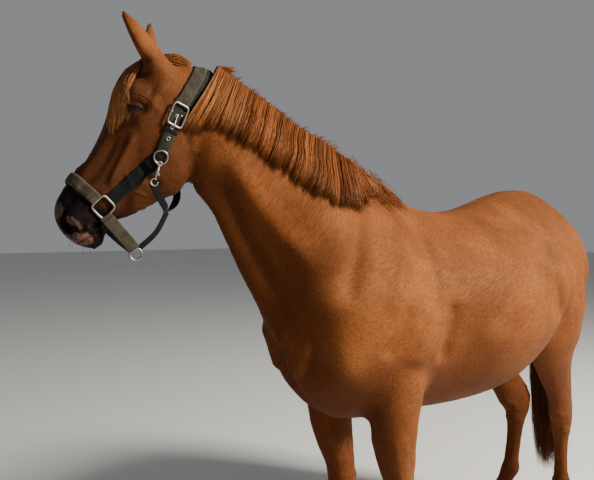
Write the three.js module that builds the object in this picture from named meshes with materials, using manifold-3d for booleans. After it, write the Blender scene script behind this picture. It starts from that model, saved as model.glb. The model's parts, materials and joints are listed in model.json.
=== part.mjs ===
// A life-size standing horse with a headcollar, as a museum model: a still figure parted where a person would
// name its pieces. Millimetres, +Z up. The horse faces -Y and its left side is +X. The origin is on the floor,
// under the middle of the bounding box.
import * as THREE from "three";
import { mergeVertices } from "three/addons/utils/BufferGeometryUtils.js";
import Module from "manifold-3d";

const wasm = await Module();
wasm.setup();

// ---------------------------------------------------------------- driving dimensions
const PARTING = 0.4; // gap left between neighbouring pieces
const NECK_BEND_START = -430; // where the neck starts to turn to the horse's right
const NECK_BEND_LENGTH = 520;
const NECK_BEND = THREE.MathUtils.degToRad(17);
const POLL = new THREE.Vector3(0, -1118, 1893); // hinge of the head on the straight neck
const HEAD_PITCH = THREE.MathUtils.degToRad(57); // the face line below the horizontal
const HEAD_YAW = THREE.MathUtils.degToRad(-4); // the head turns back a little from the neck's bend
const EAR_LENGTH = 165;
const EYE_RADIUS = 21;
const EYE = { u: 242, v: 66, w: -26 }; // centre of the eyeball on the head
const WEBBING = 4.5; // thickness of the headcollar's webbing
const WEBBING_WIDTH = 38;
const MANE_DEPTH = 24; // thickness of the mane on the neck
const FORELOCK_DEPTH = 12;
const RING = 54; // side of the square rings
const WIRE = 6.5; // thickness of the rings' and the buckle's wire
const CHIN_RING = { radius: 17, wire: 3.2 };
// How finely each body is faceted, around and along it.
const SPINE_FACETS = { around: 22, rings: 34 };
const HEAD_FACETS = { around: 20, rings: 21 };
const LIMB_FACETS = { around: 11, rings: 19 };
const HOOF_FACETS = { around: 11, rings: 3 };
const EAR_FACETS = { around: 10, rings: 8 };
const TAIL_FACETS = { around: 10, rings: 11 };

const COAT = new THREE.Color("#9a5428");
const MANE_HAIR = new THREE.Color("#a05a2c");
const TAIL_HAIR = new THREE.Color("#6e3517");
const HORN = new THREE.Color("#5c4a3a");
const STRAP = new THREE.Color("#4c4a3c");
const METAL = new THREE.Color("#a9a59a");

// ---------------------------------------------------------------- sections and lofts
// One section of a body: its front (or top) point and its back (or bottom) point in the side view, its
// half-widths near the front, in the middle and near the back, how square it is, and how far out it stands.
const section = (front, back, half, square = 2.2, out = 0) => ({ front, back, half, square, out });

// The sections as smooth curves of one parameter from 0 to 1.
function smooth(sections) {
  const curve = (pick) =>
    new THREE.CatmullRomCurve3(sections.map((s) => new THREE.Vector3(...pick(s))), false, "catmullrom", 0.5);
  const front = curve((s) => [0, ...s.front]);
  const back = curve((s) => [0, ...s.back]);
  const half = curve((s) => s.half);
  const rest = curve((s) => [s.square, s.out, 0]);
  return (t) => ({
    front: front.getPoint(t),
    back: back.getPoint(t),
    half: half.getPoint(t),
    rest: rest.getPoint(t),
  });
}

// The half-width at share q of the way from front to back: a superellipse times a parabola through the three
// half-widths.
function halfWidth(half, square, q) {
  const envelope = Math.pow(Math.max(0, 1 - Math.pow(Math.abs(2 * q - 1), square)), 1 / square);
  const near = (1 - q) * (1 - 2 * q);
  const middle = 4 * q * (1 - q);
  const far = q * (2 * q - 1);
  return envelope * Math.max(4, near * half.x + middle * half.y + far * half.z);
}

// The swellings and hollows of muscle and bone: each lifts the surface by its height at its centre and fades
// out over its radii. A pair has one on each side.
function swell(point, from, bumps) {
  let lift = 0;
  for (const { at, reach, height } of bumps) {
    const dx = (Math.abs(point.x) - at[0]) / reach[0];
    const dy = (point.y - at[1]) / reach[1];
    const dz = (point.z - at[2]) / reach[2];
    lift += height * Math.exp(-(dx * dx + dy * dy + dz * dz));
  }
  return point.add(point.clone().sub(from).normalize().multiplyScalar(lift));
}

// A closed body through its sections, grown outwards by `grow`. The sphere's poles become the two ends.
function loft(sections, { around = 20, rings = 20, grow = 0, bumps = [], place = (p) => p } = {}) {
  const at = smooth(sections);
  const geometry = new THREE.SphereGeometry(1, around, rings + 1);
  const uv = geometry.attributes.uv;
  const position = geometry.attributes.position;
  const centre = (t) => at(t).front.add(at(t).back).multiplyScalar(0.5);
  const ends = [centre(0).sub(centre(0.02)), centre(1).sub(centre(0.98))].map((end) => end.setLength(grow));
  for (let i = 0; i < position.count; i++) {
    const ring = Math.round((1 - uv.getY(i)) * (rings + 1));
    const pole = ring === 0 || ring === rings + 1;
    const t = THREE.MathUtils.clamp((ring - 1) / (rings - 1), 0, 1);
    const { front, back, half, rest } = at(t);
    const middle = front.clone().add(back).multiplyScalar(0.5);
    const along = front.clone().sub(back).normalize().multiplyScalar(grow);
    front.add(along);
    back.sub(along);
    const angle = uv.getX(i) * 2 * Math.PI;
    const q = (1 - Math.cos(angle)) / 2;
    const side = Math.sign(Math.round(1e6 * Math.sin(angle)));
    let point = middle.clone();
    if (!pole) {
      point = front.clone().lerp(back, q);
      point.x += side * (halfWidth(half, rest.x, q) + grow);
      point = swell(point, middle, bumps);
    }
    point.x += rest.y;
    if (ring <= 1) point.add(ends[0]);
    if (ring >= rings) point.add(ends[1]);
    position.setXYZ(i, ...place(point).toArray());
  }
  return geometry;
}

// ---------------------------------------------------------------- solids
function signedVolume(geometry) {
  const p = geometry.attributes.position;
  const index = geometry.index.array;
  const [a, b, c] = [new THREE.Vector3(), new THREE.Vector3(), new THREE.Vector3()];
  let six = 0;
  for (let i = 0; i < index.length; i += 3) {
    a.fromBufferAttribute(p, index[i]);
    b.fromBufferAttribute(p, index[i + 1]);
    c.fromBufferAttribute(p, index[i + 2]);
    six += a.dot(b.cross(c));
  }
  return six / 6;
}

function solid(geometry) {
  const bare = new THREE.BufferGeometry().setAttribute("position", geometry.attributes.position);
  if (geometry.index) bare.setIndex(geometry.index);
  const merged = mergeVertices(bare, 1e-3);
  const triVerts = new Uint32Array(merged.index.array);
  if (signedVolume(merged) < 0)
    for (let i = 0; i < triVerts.length; i += 3)
      [triVerts[i + 1], triVerts[i + 2]] = [triVerts[i + 2], triVerts[i + 1]];
  const vertProperties = new Float32Array(merged.attributes.position.array);
  return new wasm.Manifold(new wasm.Mesh({ numProp: 3, vertProperties, triVerts }));
}

// A box of a given size, turned and placed by a function on its corners.
function block(size, centre, place = (p) => p) {
  const geometry = new THREE.BoxGeometry(...size);
  const position = geometry.attributes.position;
  for (let i = 0; i < position.count; i++) {
    const p = new THREE.Vector3().fromBufferAttribute(position, i).add(new THREE.Vector3(...centre));
    position.setXYZ(i, ...place(p).toArray());
  }
  return solid(geometry);
}

// The largest of the bodies that a cut leaves.
const largest = (manifold) => manifold.decompose().sort((a, b) => b.volume() - a.volume())[0];

// ---------------------------------------------------------------- the pose
// Turns what lies ahead of the neck's base to the horse's right, gradually and then straight on.
function bend(point) {
  const ahead = NECK_BEND_START - point.y;
  if (ahead <= 0) return point;
  const share = Math.min(1, ahead / NECK_BEND_LENGTH);
  const turn = NECK_BEND * share * share * (3 - 2 * share);
  const centre = new THREE.Vector2(0, NECK_BEND_START);
  const steps = 24;
  for (let k = 0; k < steps; k++) {
    const s = Math.min(1, ((k + 0.5) / steps) * (ahead / NECK_BEND_LENGTH));
    const angle = NECK_BEND * s * s * (3 - 2 * s);
    centre.x -= (Math.sin(angle) * ahead) / steps;
    centre.y -= (Math.cos(angle) * ahead) / steps;
  }
  return new THREE.Vector3(centre.x + point.x * Math.cos(turn), centre.y - point.x * Math.sin(turn), point.z);
}

// Head coordinates: x out to the left, y down the face from the poll, z out of the face.
const FACE_DOWN = new THREE.Vector3(0, -Math.cos(HEAD_PITCH), -Math.sin(HEAD_PITCH));
const FACE_OUT = new THREE.Vector3(0, -Math.sin(HEAD_PITCH), Math.cos(HEAD_PITCH));
const NASAL_LINE = 100; // how far the face line stands in front of the poll
function onHead(p) {
  const turned = new THREE.Vector3(p.x, p.y, p.z + NASAL_LINE);
  const straight = new THREE.Vector3(turned.x, 0, 0)
    .addScaledVector(FACE_DOWN, turned.y)
    .addScaledVector(FACE_OUT, turned.z)
    .applyAxisAngle(new THREE.Vector3(0, 0, 1), -HEAD_YAW)
    .add(POLL);
  return bend(straight);
}

// ---------------------------------------------------------------- trunk and neck
const SPINE = [
  section([822, 1330], [816, 1190], [40, 66, 60]),
  section([804, 1430], [804, 1090], [85, 140, 118]), // point of the buttock
  section([765, 1508], [752, 1010], [112, 214, 165]), // root of the tail
  section([675, 1566], [650, 955], [132, 268, 200]),
  section([555, 1592], [535, 915], [142, 278, 190]),
  section([430, 1588], [420, 860], [150, 290, 190]), // croup
  section([305, 1564], [300, 795], [160, 328, 232], 2.3),
  section([175, 1528], [170, 750], [170, 344, 252], 2.3), // loin and flank
  section([45, 1496], [40, 738], [176, 346, 248], 2.3),
  section([-85, 1482], [-90, 738], [166, 334, 232], 2.3), // barrel
  section([-195, 1484], [-210, 744], [136, 306, 205], 2.3),
  section([-295, 1504], [-325, 752], [96, 272, 176]), // girth
  section([-380, 1536], [-445, 760], [70, 248, 170]), // withers
  section([-460, 1562], [-575, 770], [62, 236, 184]),
  section([-530, 1590], [-700, 806], [58, 228, 204], 2.4),
  section([-600, 1624], [-796, 902], [56, 218, 206], 2.5), // point of the shoulder
  section([-680, 1664], [-862, 1045], [50, 184, 158], 2.5),
  section([-765, 1706], [-920, 1164], [44, 138, 104], 2.4), // base of the neck
  section([-850, 1752], [-980, 1272], [40, 110, 76]),
  section([-930, 1802], [-1026, 1368], [37, 95, 62]),
  section([-1005, 1848], [-1070, 1456], [35, 86, 56]),
  section([-1070, 1880], [-1120, 1518], [34, 80, 52]), // throatlatch
  section([-1112, 1888], [-1152, 1590], [30, 66, 44]),
];
const SPINE_BUMPS = [
  { at: [215, -560, 1130], reach: [90, 120, 170], height: 16 }, // shoulder
  { at: [180, -735, 1000], reach: [60, 60, 80], height: 20 }, // point of the shoulder
  { at: [240, -420, 1010], reach: [70, 90, 110], height: 12 }, // triceps above the elbow
  { at: [70, -775, 1000], reach: [55, 50, 90], height: 16 }, // breast
  { at: [262, 470, 1120], reach: [80, 150, 160], height: 12 }, // thigh
  { at: [265, 330, 1440], reach: [50, 60, 50], height: 14 }, // point of the hip
  { at: [150, 600, 1400], reach: [100, 120, 120], height: 6 }, // rump
];

// ---------------------------------------------------------------- head
const HEAD = [
  section([12, -96], [40, -160], [28, 44, 30]),
  section([34, -66], [80, -196], [52, 64, 44]),
  section([80, -22], [140, -214], [66, 82, 54], 2.5),
  section([130, 14], [200, -226], [82, 92, 60], 2.7),
  section([185, 34], [258, -240], [94, 92, 62], 3),
  section([235, 35], [312, -264], [86, 84, 60], 3), // across the eyes
  section([290, 22], [354, -264], [66, 75, 50], 2.8),
  section([350, 13], [402, -232], [52, 64, 38], 2.5),
  section([410, 8], [446, -210], [42, 56, 32], 2.5),
  section([465, 5], [492, -182], [38, 51, 30], 2.5), // bars of the mouth
  section([512, 4], [526, -160], [39, 51, 31], 2.5), // chin groove
  section([552, 0], [560, -160], [45, 55, 34], 2.5), // nostrils
  section([580, -10], [590, -165], [47, 57, 34], 2.4),
  section([603, -34], [612, -148], [42, 52, 30], 2.3),
  section([618, -62], [624, -118], [28, 34, 20], 2.2), // lips
];
const HEAD_BUMPS = [
  { at: [92, 214, 6], reach: [30, 36, 28], height: 22 }, // brow
  { at: [88, 290, -60], reach: [30, 60, 26], height: 5 }, // cheekbone
  { at: [84, 262, -190], reach: [40, 75, 60], height: 8 }, // cheek
  { at: [62, 150, -34], reach: [24, 24, 22], height: -8 }, // hollow above the eye
  { at: [64, 92, -34], reach: [26, 34, 30], height: 11 }, // mound at the ear's base
  { at: [62, 420, -85], reach: [26, 60, 14], height: 6 }, // crest of the face
  { at: [48, 585, -50], reach: [22, 26, 26], height: 8 }, // nostril
  { at: [0, 600, -150], reach: [36, 24, 24], height: 6 }, // chin
];

// ---------------------------------------------------------------- legs
// Sections of the left legs run from inside the body down to the coronet: front line, back line, half-widths.
const FORE_LEG = [
  section([-640, 1120], [-455, 1120], [50, 62, 50], 2.2, 148),
  section([-652, 1040], [-425, 1030], [70, 84, 66], 2.2, 150),
  section([-650, 960], [-405, 935], [74, 86, 68], 2.2, 150),
  section([-640, 880], [-405, 862], [72, 84, 60], 2.2, 147), // elbow
  section([-628, 800], [-425, 790], [66, 78, 52], 2.2, 142),
  section([-612, 720], [-440, 715], [56, 70, 47], 2.2, 137),
  section([-588, 640], [-436, 635], [46, 59, 41], 2.2, 131), // forearm
  section([-560, 575], [-430, 570], [42, 51, 36], 2.2, 126),
  section([-546, 510], [-434, 515], [43, 46, 36], 2.4, 122),
  section([-546, 460], [-432, 465], [43, 47, 37], 2.4, 119), // knee
  section([-535, 415], [-434, 425], [38, 43, 34], 2.4, 116),
  section([-522, 375], [-440, 380], [29, 33, 27], 2.3, 114),
  section([-518, 310], [-441, 310], [26, 28, 24], 2.3, 111), // cannon
  section([-519, 255], [-440, 255], [28, 31, 27], 2.3, 109),
  section([-529, 215], [-430, 222], [35, 38, 33], 2.3, 108), // fetlock
  section([-533, 185], [-436, 190], [34, 36, 30], 2.3, 108),
  section([-548, 150], [-470, 142], [32, 34, 29], 2.3, 108), // pastern
  section([-570, 112], [-492, 98], [40, 43, 36], 2.3, 108),
  section([-584, 92], [-500, 74], [47, 50, 42], 2.3, 108), // coronet
];
const HIND_LEG = [
  section([380, 1260], [680, 1260], [60, 80, 60], 2.2, 150),
  section([340, 1150], [740, 1170], [82, 118, 84], 2.2, 164),
  section([318, 1060], [756, 1080], [84, 120, 88], 2.2, 167),
  section([318, 985], [752, 1000], [78, 108, 74], 2.2, 166), // stifle
  section([345, 922], [735, 935], [72, 100, 62], 2.2, 164),
  section([395, 855], [715, 875], [62, 80, 48], 2.2, 158),
  section([455, 790], [716, 810], [54, 66, 38], 2.2, 152), // gaskin
  section([515, 727], [734, 755], [47, 57, 29], 2.2, 145),
  section([568, 662], [764, 696], [41, 49, 23], 2.2, 139),
  section([602, 606], [796, 640], [38, 45, 22], 2.2, 134), // point of the hock
  section([630, 556], [806, 582], [42, 46, 26], 2.3, 130),
  section([662, 512], [796, 528], [43, 46, 31], 2.3, 127), // hock
  section([676, 466], [776, 472], [36, 40, 30], 2.3, 125),
  section([685, 415], [771, 415], [29, 32, 27], 2.3, 123),
  section([688, 340], [769, 340], [27, 30, 25], 2.3, 121), // cannon
  section([688, 275], [771, 275], [29, 32, 27], 2.3, 120),
  section([680, 235], [780, 240], [36, 39, 33], 2.3, 120), // fetlock
  section([674, 200], [770, 208], [34, 37, 30], 2.3, 120),
  section([656, 160], [732, 150], [32, 34, 29], 2.3, 120), // pastern
  section([634, 118], [710, 102], [40, 42, 36], 2.3, 120),
  section([620, 94], [702, 76], [46, 48, 40], 2.3, 120), // coronet
];
const FORE_HOOF = [
  section([-589, 92.4], [-498, 72.6], [48, 52, 44], 2.2, 108),
  section([-611, 48], [-496, 34], [54, 59, 50], 2.2, 108),
  section([-634, 0], [-495, 0], [61, 67, 56], 2.2, 108),
];
const HIND_HOOF = [
  section([614, 94.5], [704, 74.8], [46, 50, 42], 2.2, 120),
  section([592, 48], [705, 34], [50, 55, 46], 2.2, 120),
  section([570, 0], [706, 0], [55, 62, 52], 2.2, 120),
];
// How each foot stands away from the square: [forward is negative, out is positive] at the knee or hock and
// at the foot, and how far the limb below the elbow or stifle is turned with its toe outwards.
const STEP_TOP = 1000;
const STEP_JOINT = 520;
const STEP_FOOT = 120;
const STEPS = {
  fore_left: { joint: [26, 0], foot: [10, 0], turn: 4, axis: -487, side: 1 },
  fore_right: { joint: [0, 0], foot: [-20, 0], turn: 4, axis: -487, side: -1 },
  hind_left: { joint: [-8, 0], foot: [8, 0], turn: 4, axis: 730, side: 1 },
  hind_right: { joint: [10, -24], foot: [-60, 0], turn: 30, axis: 730, side: -1 },
};
const AXIS_OUT = 120; // the line the limb turns about
const stepped = ({ joint, foot, turn, axis, side }) => (p) => {
  const share = THREE.MathUtils.clamp((STEP_TOP - p.z) / (STEP_TOP - STEP_JOINT), 0, 1);
  const low = THREE.MathUtils.clamp((STEP_JOINT - p.z) / (STEP_JOINT - STEP_FOOT), 0, 1);
  const step = joint.map((value, i) => value * share * (1 - low) + foot[i] * low);
  const angle = THREE.MathUtils.degToRad(turn) * share;
  const [dx, dy] = [p.x - AXIS_OUT, p.y - axis];
  const x = AXIS_OUT + dx * Math.cos(angle) - dy * Math.sin(angle) + step[1];
  const y = axis + dx * Math.sin(angle) + dy * Math.cos(angle) + step[0];
  return new THREE.Vector3(side * x, y, p.z);
};

// ---------------------------------------------------------------- ears
// Ear coordinates: x towards the opening, y across, z along from the base to the tip.
const EAR = [
  section([-37, -25], [42, -25], [30, 32, 30]),
  section([-36, 8], [41, 8], [28, 30, 28], 2.2, -2),
  section([-34, 38], [37, 38], [22, 25, 22], 2.2, -3),
  section([-34, 66], [34, 66], [17, 20, 17], 2.2, -2),
  section([-31, 94], [30, 94], [14, 17, 14], 2.2, -1),
  section([-23, 122], [23, 122], [10, 13, 10], 2.2, 2),
  section([-13, 146], [14, 146], [7, 8, 7], 2.2, 6),
  section([-4, EAR_LENGTH - 3], [6, EAR_LENGTH - 3], [4, 4, 4], 2.2, 9),
];
const EAR_HOLLOW = [
  section([-17, 30], [17, 30], [8, 10, 8], 2.2, 15),
  section([-26, 52], [26, 52], [12, 17, 12], 2.2, 14),
  section([-28, 78], [27, 78], [12, 17, 12], 2.2, 13),
  section([-23, 104], [22, 104], [9, 14, 9], 2.2, 13),
  section([-14, 130], [14, 130], [6, 9, 6], 2.2, 13),
  section([-5, 150], [6, 150], [4, 4, 4], 2.2, 13),
];
// Each ear's base, tip and the way its opening looks, on the head.
const EARS = {
  left: { base: [58, 106, -14], tip: [72, 42, 132], facing: [-0.8, 0.35, 0.5] },
  right: { base: [-58, 100, -16], tip: [-76, -35, 49], facing: [-0.75, 0.3, 0.75] },
};
function earPlace({ base, tip, facing }) {
  const along = new THREE.Vector3(...tip).sub(new THREE.Vector3(...base)).normalize();
  const out = new THREE.Vector3(...facing);
  out.addScaledVector(along, -out.dot(along)).normalize();
  const across = along.clone().cross(out);
  return (p) =>
    onHead(
      new THREE.Vector3(...base).addScaledVector(out, p.x).addScaledVector(across, p.y).addScaledVector(along, p.z)
    );
}

// ---------------------------------------------------------------- mane, forelock and tail
// The side view the mane hangs over, from its line above the crest down to its ragged lower edge.
const MANE_TOP = 40;
const MANE = [
  [-1086, 1886, 190],
  [-1062, 1878, 246],
  [-1030, 1862, 222],
  [-998, 1844, 240],
  [-960, 1820, 214],
  [-925, 1799, 226],
  [-885, 1774, 206],
  [-845, 1750, 216],
  [-800, 1724, 196],
  [-755, 1700, 206],
  [-705, 1676, 186],
  [-655, 1651, 194],
  [-600, 1624, 172],
  [-545, 1597, 158],
  [-490, 1573, 128],
  [-440, 1556, 84],
];
const MANE_REACH = MANE.map(([y, z, hang]) => section([y, z + MANE_TOP], [y, z - hang], [118, 118, 118], 12, 104));
const FORELOCK_REACH = [
  section([60, 70], [60, -60], [26, 26, 26], 8, 6),
  section([100, 90], [100, -50], [38, 38, 38], 8, 8),
  section([160, 100], [160, -50], [50, 50, 50], 8, 12),
  section([215, 100], [215, -50], [46, 46, 46], 8, 22),
  section([262, 90], [262, -50], [36, 36, 36], 8, 34),
  section([305, 80], [305, -50], [22, 22, 22], 8, 40),
  section([330, 70], [330, -50], [8, 8, 8], 8, 42),
];
const TAIL = [
  section([775, 1400], [796, 1452], [20, 24, 20]),
  section([812, 1386], [836, 1446], [26, 30, 26]),
  section([832, 1345], [874, 1404], [32, 36, 32]),
  section([840, 1286], [898, 1312], [38, 44, 38]),
  section([842, 1190], [908, 1195], [44, 52, 44]),
  section([838, 1040], [910, 1040], [48, 58, 48]),
  section([834, 870], [906, 870], [50, 61, 50]),
  section([830, 700], [900, 700], [48, 60, 48]),
  section([828, 540], [894, 540], [46, 56, 46]),
  section([830, 390], [888, 390], [40, 48, 40]),
  section([834, 260], [880, 260], [29, 35, 29]),
  section([846, 150], [866, 150], [10, 12, 10]),
];

// ---------------------------------------------------------------- headcollar
// Straps lie in slabs across the head, from one point of the side view to another; x runs out to the side.
function slab([fromU, fromW], [toU, toW], width, [near, far]) {
  const along = new THREE.Vector2(toU - fromU, toW - fromW);
  const length = along.length();
  along.normalize();
  return block([far - near, width, length], [(near + far) / 2, 0, length / 2], (p) =>
    onHead(new THREE.Vector3(p.x, fromU + along.x * p.z - along.y * p.y, fromW + along.y * p.z + along.x * p.y))
  );
}

// A strap or a bar swept along a line of points on the head, its flat face turned towards `face`.
function swept(points, width, thickness, face, steps = 5) {
  const curve = new THREE.CatmullRomCurve3(points.map((p) => new THREE.Vector3(...p)));
  const geometry = new THREE.BoxGeometry(width, thickness, 1, 1, 1, steps);
  const position = geometry.attributes.position;
  for (let i = 0; i < position.count; i++) {
    const p = new THREE.Vector3().fromBufferAttribute(position, i);
    const share = p.z + 0.5;
    const tangent = curve.getTangentAt(share);
    const across = tangent.clone().cross(new THREE.Vector3(...face(share))).normalize();
    const normal = across.clone().cross(tangent);
    const point = curve.getPointAt(share).addScaledVector(across, p.x).addScaledVector(normal, p.y);
    position.setXYZ(i, ...onHead(point).toArray());
  }
  return solid(geometry);
}

// A ring of round wire about a centre on the head, turned by Euler angles.
function ring(centre, radius, wire, turn) {
  const geometry = new THREE.TorusGeometry(radius, wire, 6, 14);
  geometry.applyMatrix4(new THREE.Matrix4().makeRotationFromEuler(new THREE.Euler(...turn)));
  const position = geometry.attributes.position;
  for (let i = 0; i < position.count; i++) {
    const p = new THREE.Vector3().fromBufferAttribute(position, i).add(new THREE.Vector3(...centre));
    position.setXYZ(i, ...onHead(p).toArray());
  }
  return solid(geometry);
}

// ---------------------------------------------------------------- nodes
const group = new THREE.Group();
function node(name, manifold, color, roughness = 0.6, metalness = 0) {
  const { vertProperties, triVerts } = manifold.getMesh();
  const geometry = new THREE.BufferGeometry();
  geometry.setAttribute("position", new THREE.BufferAttribute(vertProperties, 3));
  geometry.setIndex(new THREE.BufferAttribute(triVerts, 1));
  const mesh = new THREE.Mesh(geometry, new THREE.MeshStandardMaterial({ color, roughness, metalness }));
  mesh.name = name;
  group.add(mesh);
}

const spineAt = (grow) => solid(loft(SPINE, { ...SPINE_FACETS, grow, bumps: SPINE_BUMPS, place: bend }));
const headAt = (grow) => solid(loft(HEAD, { ...HEAD_FACETS, grow, bumps: HEAD_BUMPS, place: onHead }));
const bodyAt = (grow) => spineAt(grow).add(headAt(grow));
const eyeAt = (side, radius) =>
  solid(new THREE.SphereGeometry(radius, 10, 8).translate(...onHead(new THREE.Vector3(side * EYE.v, EYE.u, EYE.w))));
const spine = spineAt(0);
const spineClear = spineAt(PARTING);
const headClear = headAt(PARTING);
const SIDES = { left: 1, right: -1 };

// The neck parts from the trunk along a plane from before the withers down to the breast.
const NECK_TOP = [-470, 1600];
const NECK_BASE = [-905, 1125];
function neckSide(side) {
  const slope = new THREE.Vector2(NECK_TOP[0] - NECK_BASE[0], NECK_TOP[1] - NECK_BASE[1]).normalize();
  const reach = 4400;
  return block([reach, reach, reach], [0, side * (reach / 2 + PARTING / 2), 0], (p) => {
    const y = NECK_BASE[0] + slope.x * p.z - slope.y * p.y;
    const z = NECK_BASE[1] + slope.y * p.z + slope.x * p.y;
    return new THREE.Vector3(p.x, y, z);
  });
}
const ears = Object.fromEntries(
  Object.entries(EARS).map(([name, ear]) => {
    const place = earPlace(ear);
    const leaf = solid(loft(EAR, { ...EAR_FACETS, place }));
    const hollow = solid(loft(EAR_HOLLOW, { around: 8, rings: 6, place }));
    return [name, largest(leaf.subtract(hollow).subtract(headClear).subtract(spineClear))];
  })
);
node("trunk", largest(spine.intersect(neckSide(-1))), COAT);
node("neck", largest(spine.intersect(neckSide(1)).subtract(headClear)), COAT);
let head = headAt(0);
for (const [name, side] of Object.entries(SIDES)) {
  head = head.subtract(eyeAt(side, EYE_RADIUS + PARTING));
  node(`ear_${name}`, ears[name], COAT);
  node(`eye_${name}`, eyeAt(side, EYE_RADIUS), new THREE.Color("#20140e"), 0.1);
}
node("head", largest(head), COAT);

const limbs = {};
for (const [name, step] of Object.entries(STEPS)) {
  const fore = name.startsWith("fore");
  const sections = fore ? FORE_LEG : HIND_LEG;
  const at = (grow) => solid(loft(sections, { ...LIMB_FACETS, grow, place: stepped(step) }));
  limbs[name] = at(PARTING);
  node(`leg_${name}`, largest(at(0).subtract(spineClear)), COAT);
  const hoof = solid(loft(fore ? FORE_HOOF : HIND_HOOF, { ...HOOF_FACETS, place: stepped(step) }));
  node(`hoof_${name}`, hoof, HORN, 0.5);
}

const tail = solid(loft(TAIL, TAIL_FACETS));
node("tail", largest(tail.subtract(spineClear).subtract(limbs.hind_left).subtract(limbs.hind_right)), TAIL_HAIR);

const crown = slab([-150, -119], [176, -119], WEBBING_WIDTH, [-160, 160]);
const crownClear = slab([-150, -119], [176 + PARTING, -119], 60, [-170, 170]);
const webbing = bodyAt(PARTING + WEBBING).subtract(bodyAt(PARTING));
const strapClear = bodyAt(2 * PARTING + WEBBING).intersect(slab([-150, -119], [200, -119], 48, [-160, 160]));
const manePlace = solid(loft(MANE_REACH, { around: 4, rings: 31, place: bend }));
const maneLayer = spineAt(MANE_DEPTH).intersect(manePlace).subtract(bodyAt(PARTING));
node("mane", largest(maneLayer.subtract(strapClear)), MANE_HAIR);
const forelockPlace = solid(loft(FORELOCK_REACH, { around: 4, rings: 8, place: onHead }));
const earAt = (ear) => solid(loft(EAR, { ...EAR_FACETS, grow: PARTING, place: earPlace(ear) }));
const earsClear = earAt(EARS.left).add(earAt(EARS.right));
const forelock = headAt(FORELOCK_DEPTH).intersect(forelockPlace).subtract(bodyAt(PARTING));
node("forelock", largest(forelock.subtract(earsClear)), MANE_HAIR);

node("headcollar_crownpiece", largest(webbing.intersect(crown)), STRAP);
const NOSE_TOP = [474, 44]; // where the noseband's line starts above the nose
const RING_TOP = [501.8, -79.6]; // the square ring's ends on the same line
const RING_END = [512.2, -130];
const wire = bodyAt(PARTING + WIRE).subtract(bodyAt(PARTING));
const ringClear = slab(RING_TOP, RING_END, RING + 2 * PARTING, [-150, 150]);
const noseSlab = slab(NOSE_TOP, [RING_TOP[0] + 0.3, RING_TOP[1] - 2], WEBBING_WIDTH, [-140, 140]);
node("headcollar_noseband", largest(webbing.intersect(noseSlab).subtract(ringClear)), STRAP);
for (const [name, side] of Object.entries(SIDES)) {
  const [near, far] = side > 0 ? [10, 140] : [-140, -10];
  const cheek = slab([486, -110], [322, -149], WEBBING_WIDTH, [near, far])
    .add(slab([336, -156], [170, -117.5], WEBBING_WIDTH, [near, far]))
    .subtract(crownClear)
    .subtract(ringClear);
  node(`headcollar_cheekpiece_${name}`, largest(webbing.intersect(cheek)), STRAP);
  const outer = slab([RING_TOP[0] + 0.1, RING_TOP[1] - PARTING], RING_END, RING, [near, far]);
  const inner = slab([502.5, -86.5], [511, -123.5], RING - 2 * WIRE, [near, far]);
  node(`headcollar_ring_${name}`, largest(wire.intersect(outer.subtract(inner))), METAL, 0.3, 1);
}
const buckleWire = bodyAt(2 * PARTING + WEBBING + 4).subtract(bodyAt(2 * PARTING + WEBBING));
const buckle = slab([160, -118], [226, -131], 46, [10, 160]).subtract(slab([168, -119.6], [218, -129.4], 31, [10, 160]));
node("headcollar_buckle", largest(buckleWire.intersect(buckle)), METAL, 0.3, 1);

// The chin straps run from the square rings to the chin ring, and the link strap from there to the throat.
const CHIN = [0, 562, -256]; // centre of the chin ring
const THROAT = [0, 417, -262]; // the lowest point of the throat strap
const linkEnd = [0, CHIN[1] - CHIN_RING.radius - CHIN_RING.wire - 2, CHIN[2] + 1];
const chinRing = ring(CHIN, CHIN_RING.radius, CHIN_RING.wire, [0, Math.PI / 2, 0]);
node("headcollar_chin_ring", chinRing, METAL, 0.3, 1);
for (const [name, side] of Object.entries(SIDES)) {
  const path = [
    [side * 56, 528, -131],
    [side * 49, 537, -170],
    [side * 30, 547, -214],
    [side * 6.5, 552, -247],
  ];
  const strap = swept(path, 32, WEBBING, () => [side, 0.25, -0.25]);
  const clear = bodyAt(PARTING).add(ring(CHIN, CHIN_RING.radius, CHIN_RING.wire + PARTING, [0, Math.PI / 2, 0]));
  const half = block([200, 1500, 1500], [side * (100 + PARTING / 2), 560, -200], (p) => onHead(p));
  node(`headcollar_chin_strap_${name}`, largest(strap.intersect(half).subtract(clear)), STRAP);
}
const link = swept([linkEnd, [0, 480, -272], [0, THROAT[1] + 2, THROAT[2] - 11]], 20, 4, () => [0, 0, -1]);
node("headcollar_link_strap", link, STRAP);
const throatStrap = swept(
  [
    [82, 384, -172],
    [74, 402, -205],
    [44, 414, -246],
    [0, 417, -262],
    [-40, 392, -280],
    [-68, 350, -284],
    [-88, 306, -262],
  ],
  22,
  4,
  (share) => [Math.cos(Math.PI * share), 0, -Math.sin(Math.PI * share)],
  10
);
node("headcollar_throat_strap", throatStrap.subtract(bodyAt(PARTING)), STRAP);

// The origin goes on the floor under the middle of the bounding box.
const extent = new THREE.Box3().setFromObject(group);
const middle = extent.getCenter(new THREE.Vector3());
for (const mesh of group.children) mesh.geometry.translate(-middle.x, -middle.y, 0);

export default group;
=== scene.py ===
"""Dresses the life-size horse: one skin with its coat, hair in locks, eyes, hooves and a webbing headcollar.

Body shapes are given in millimetres in the horse's own coordinates: x out to its left, y towards its tail and
z up, with the neck straight and the legs square. The pose then turns the neck and the head and sets the feet,
and the finished meshes are in metres. The head has coordinates of its own: out to the left, down the face
from the poll, and above the line of the face.
"""

import json
import logging
import math
from dataclasses import dataclass, field
from enum import Enum
from typing import Callable, Iterable, Optional, Sequence

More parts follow.
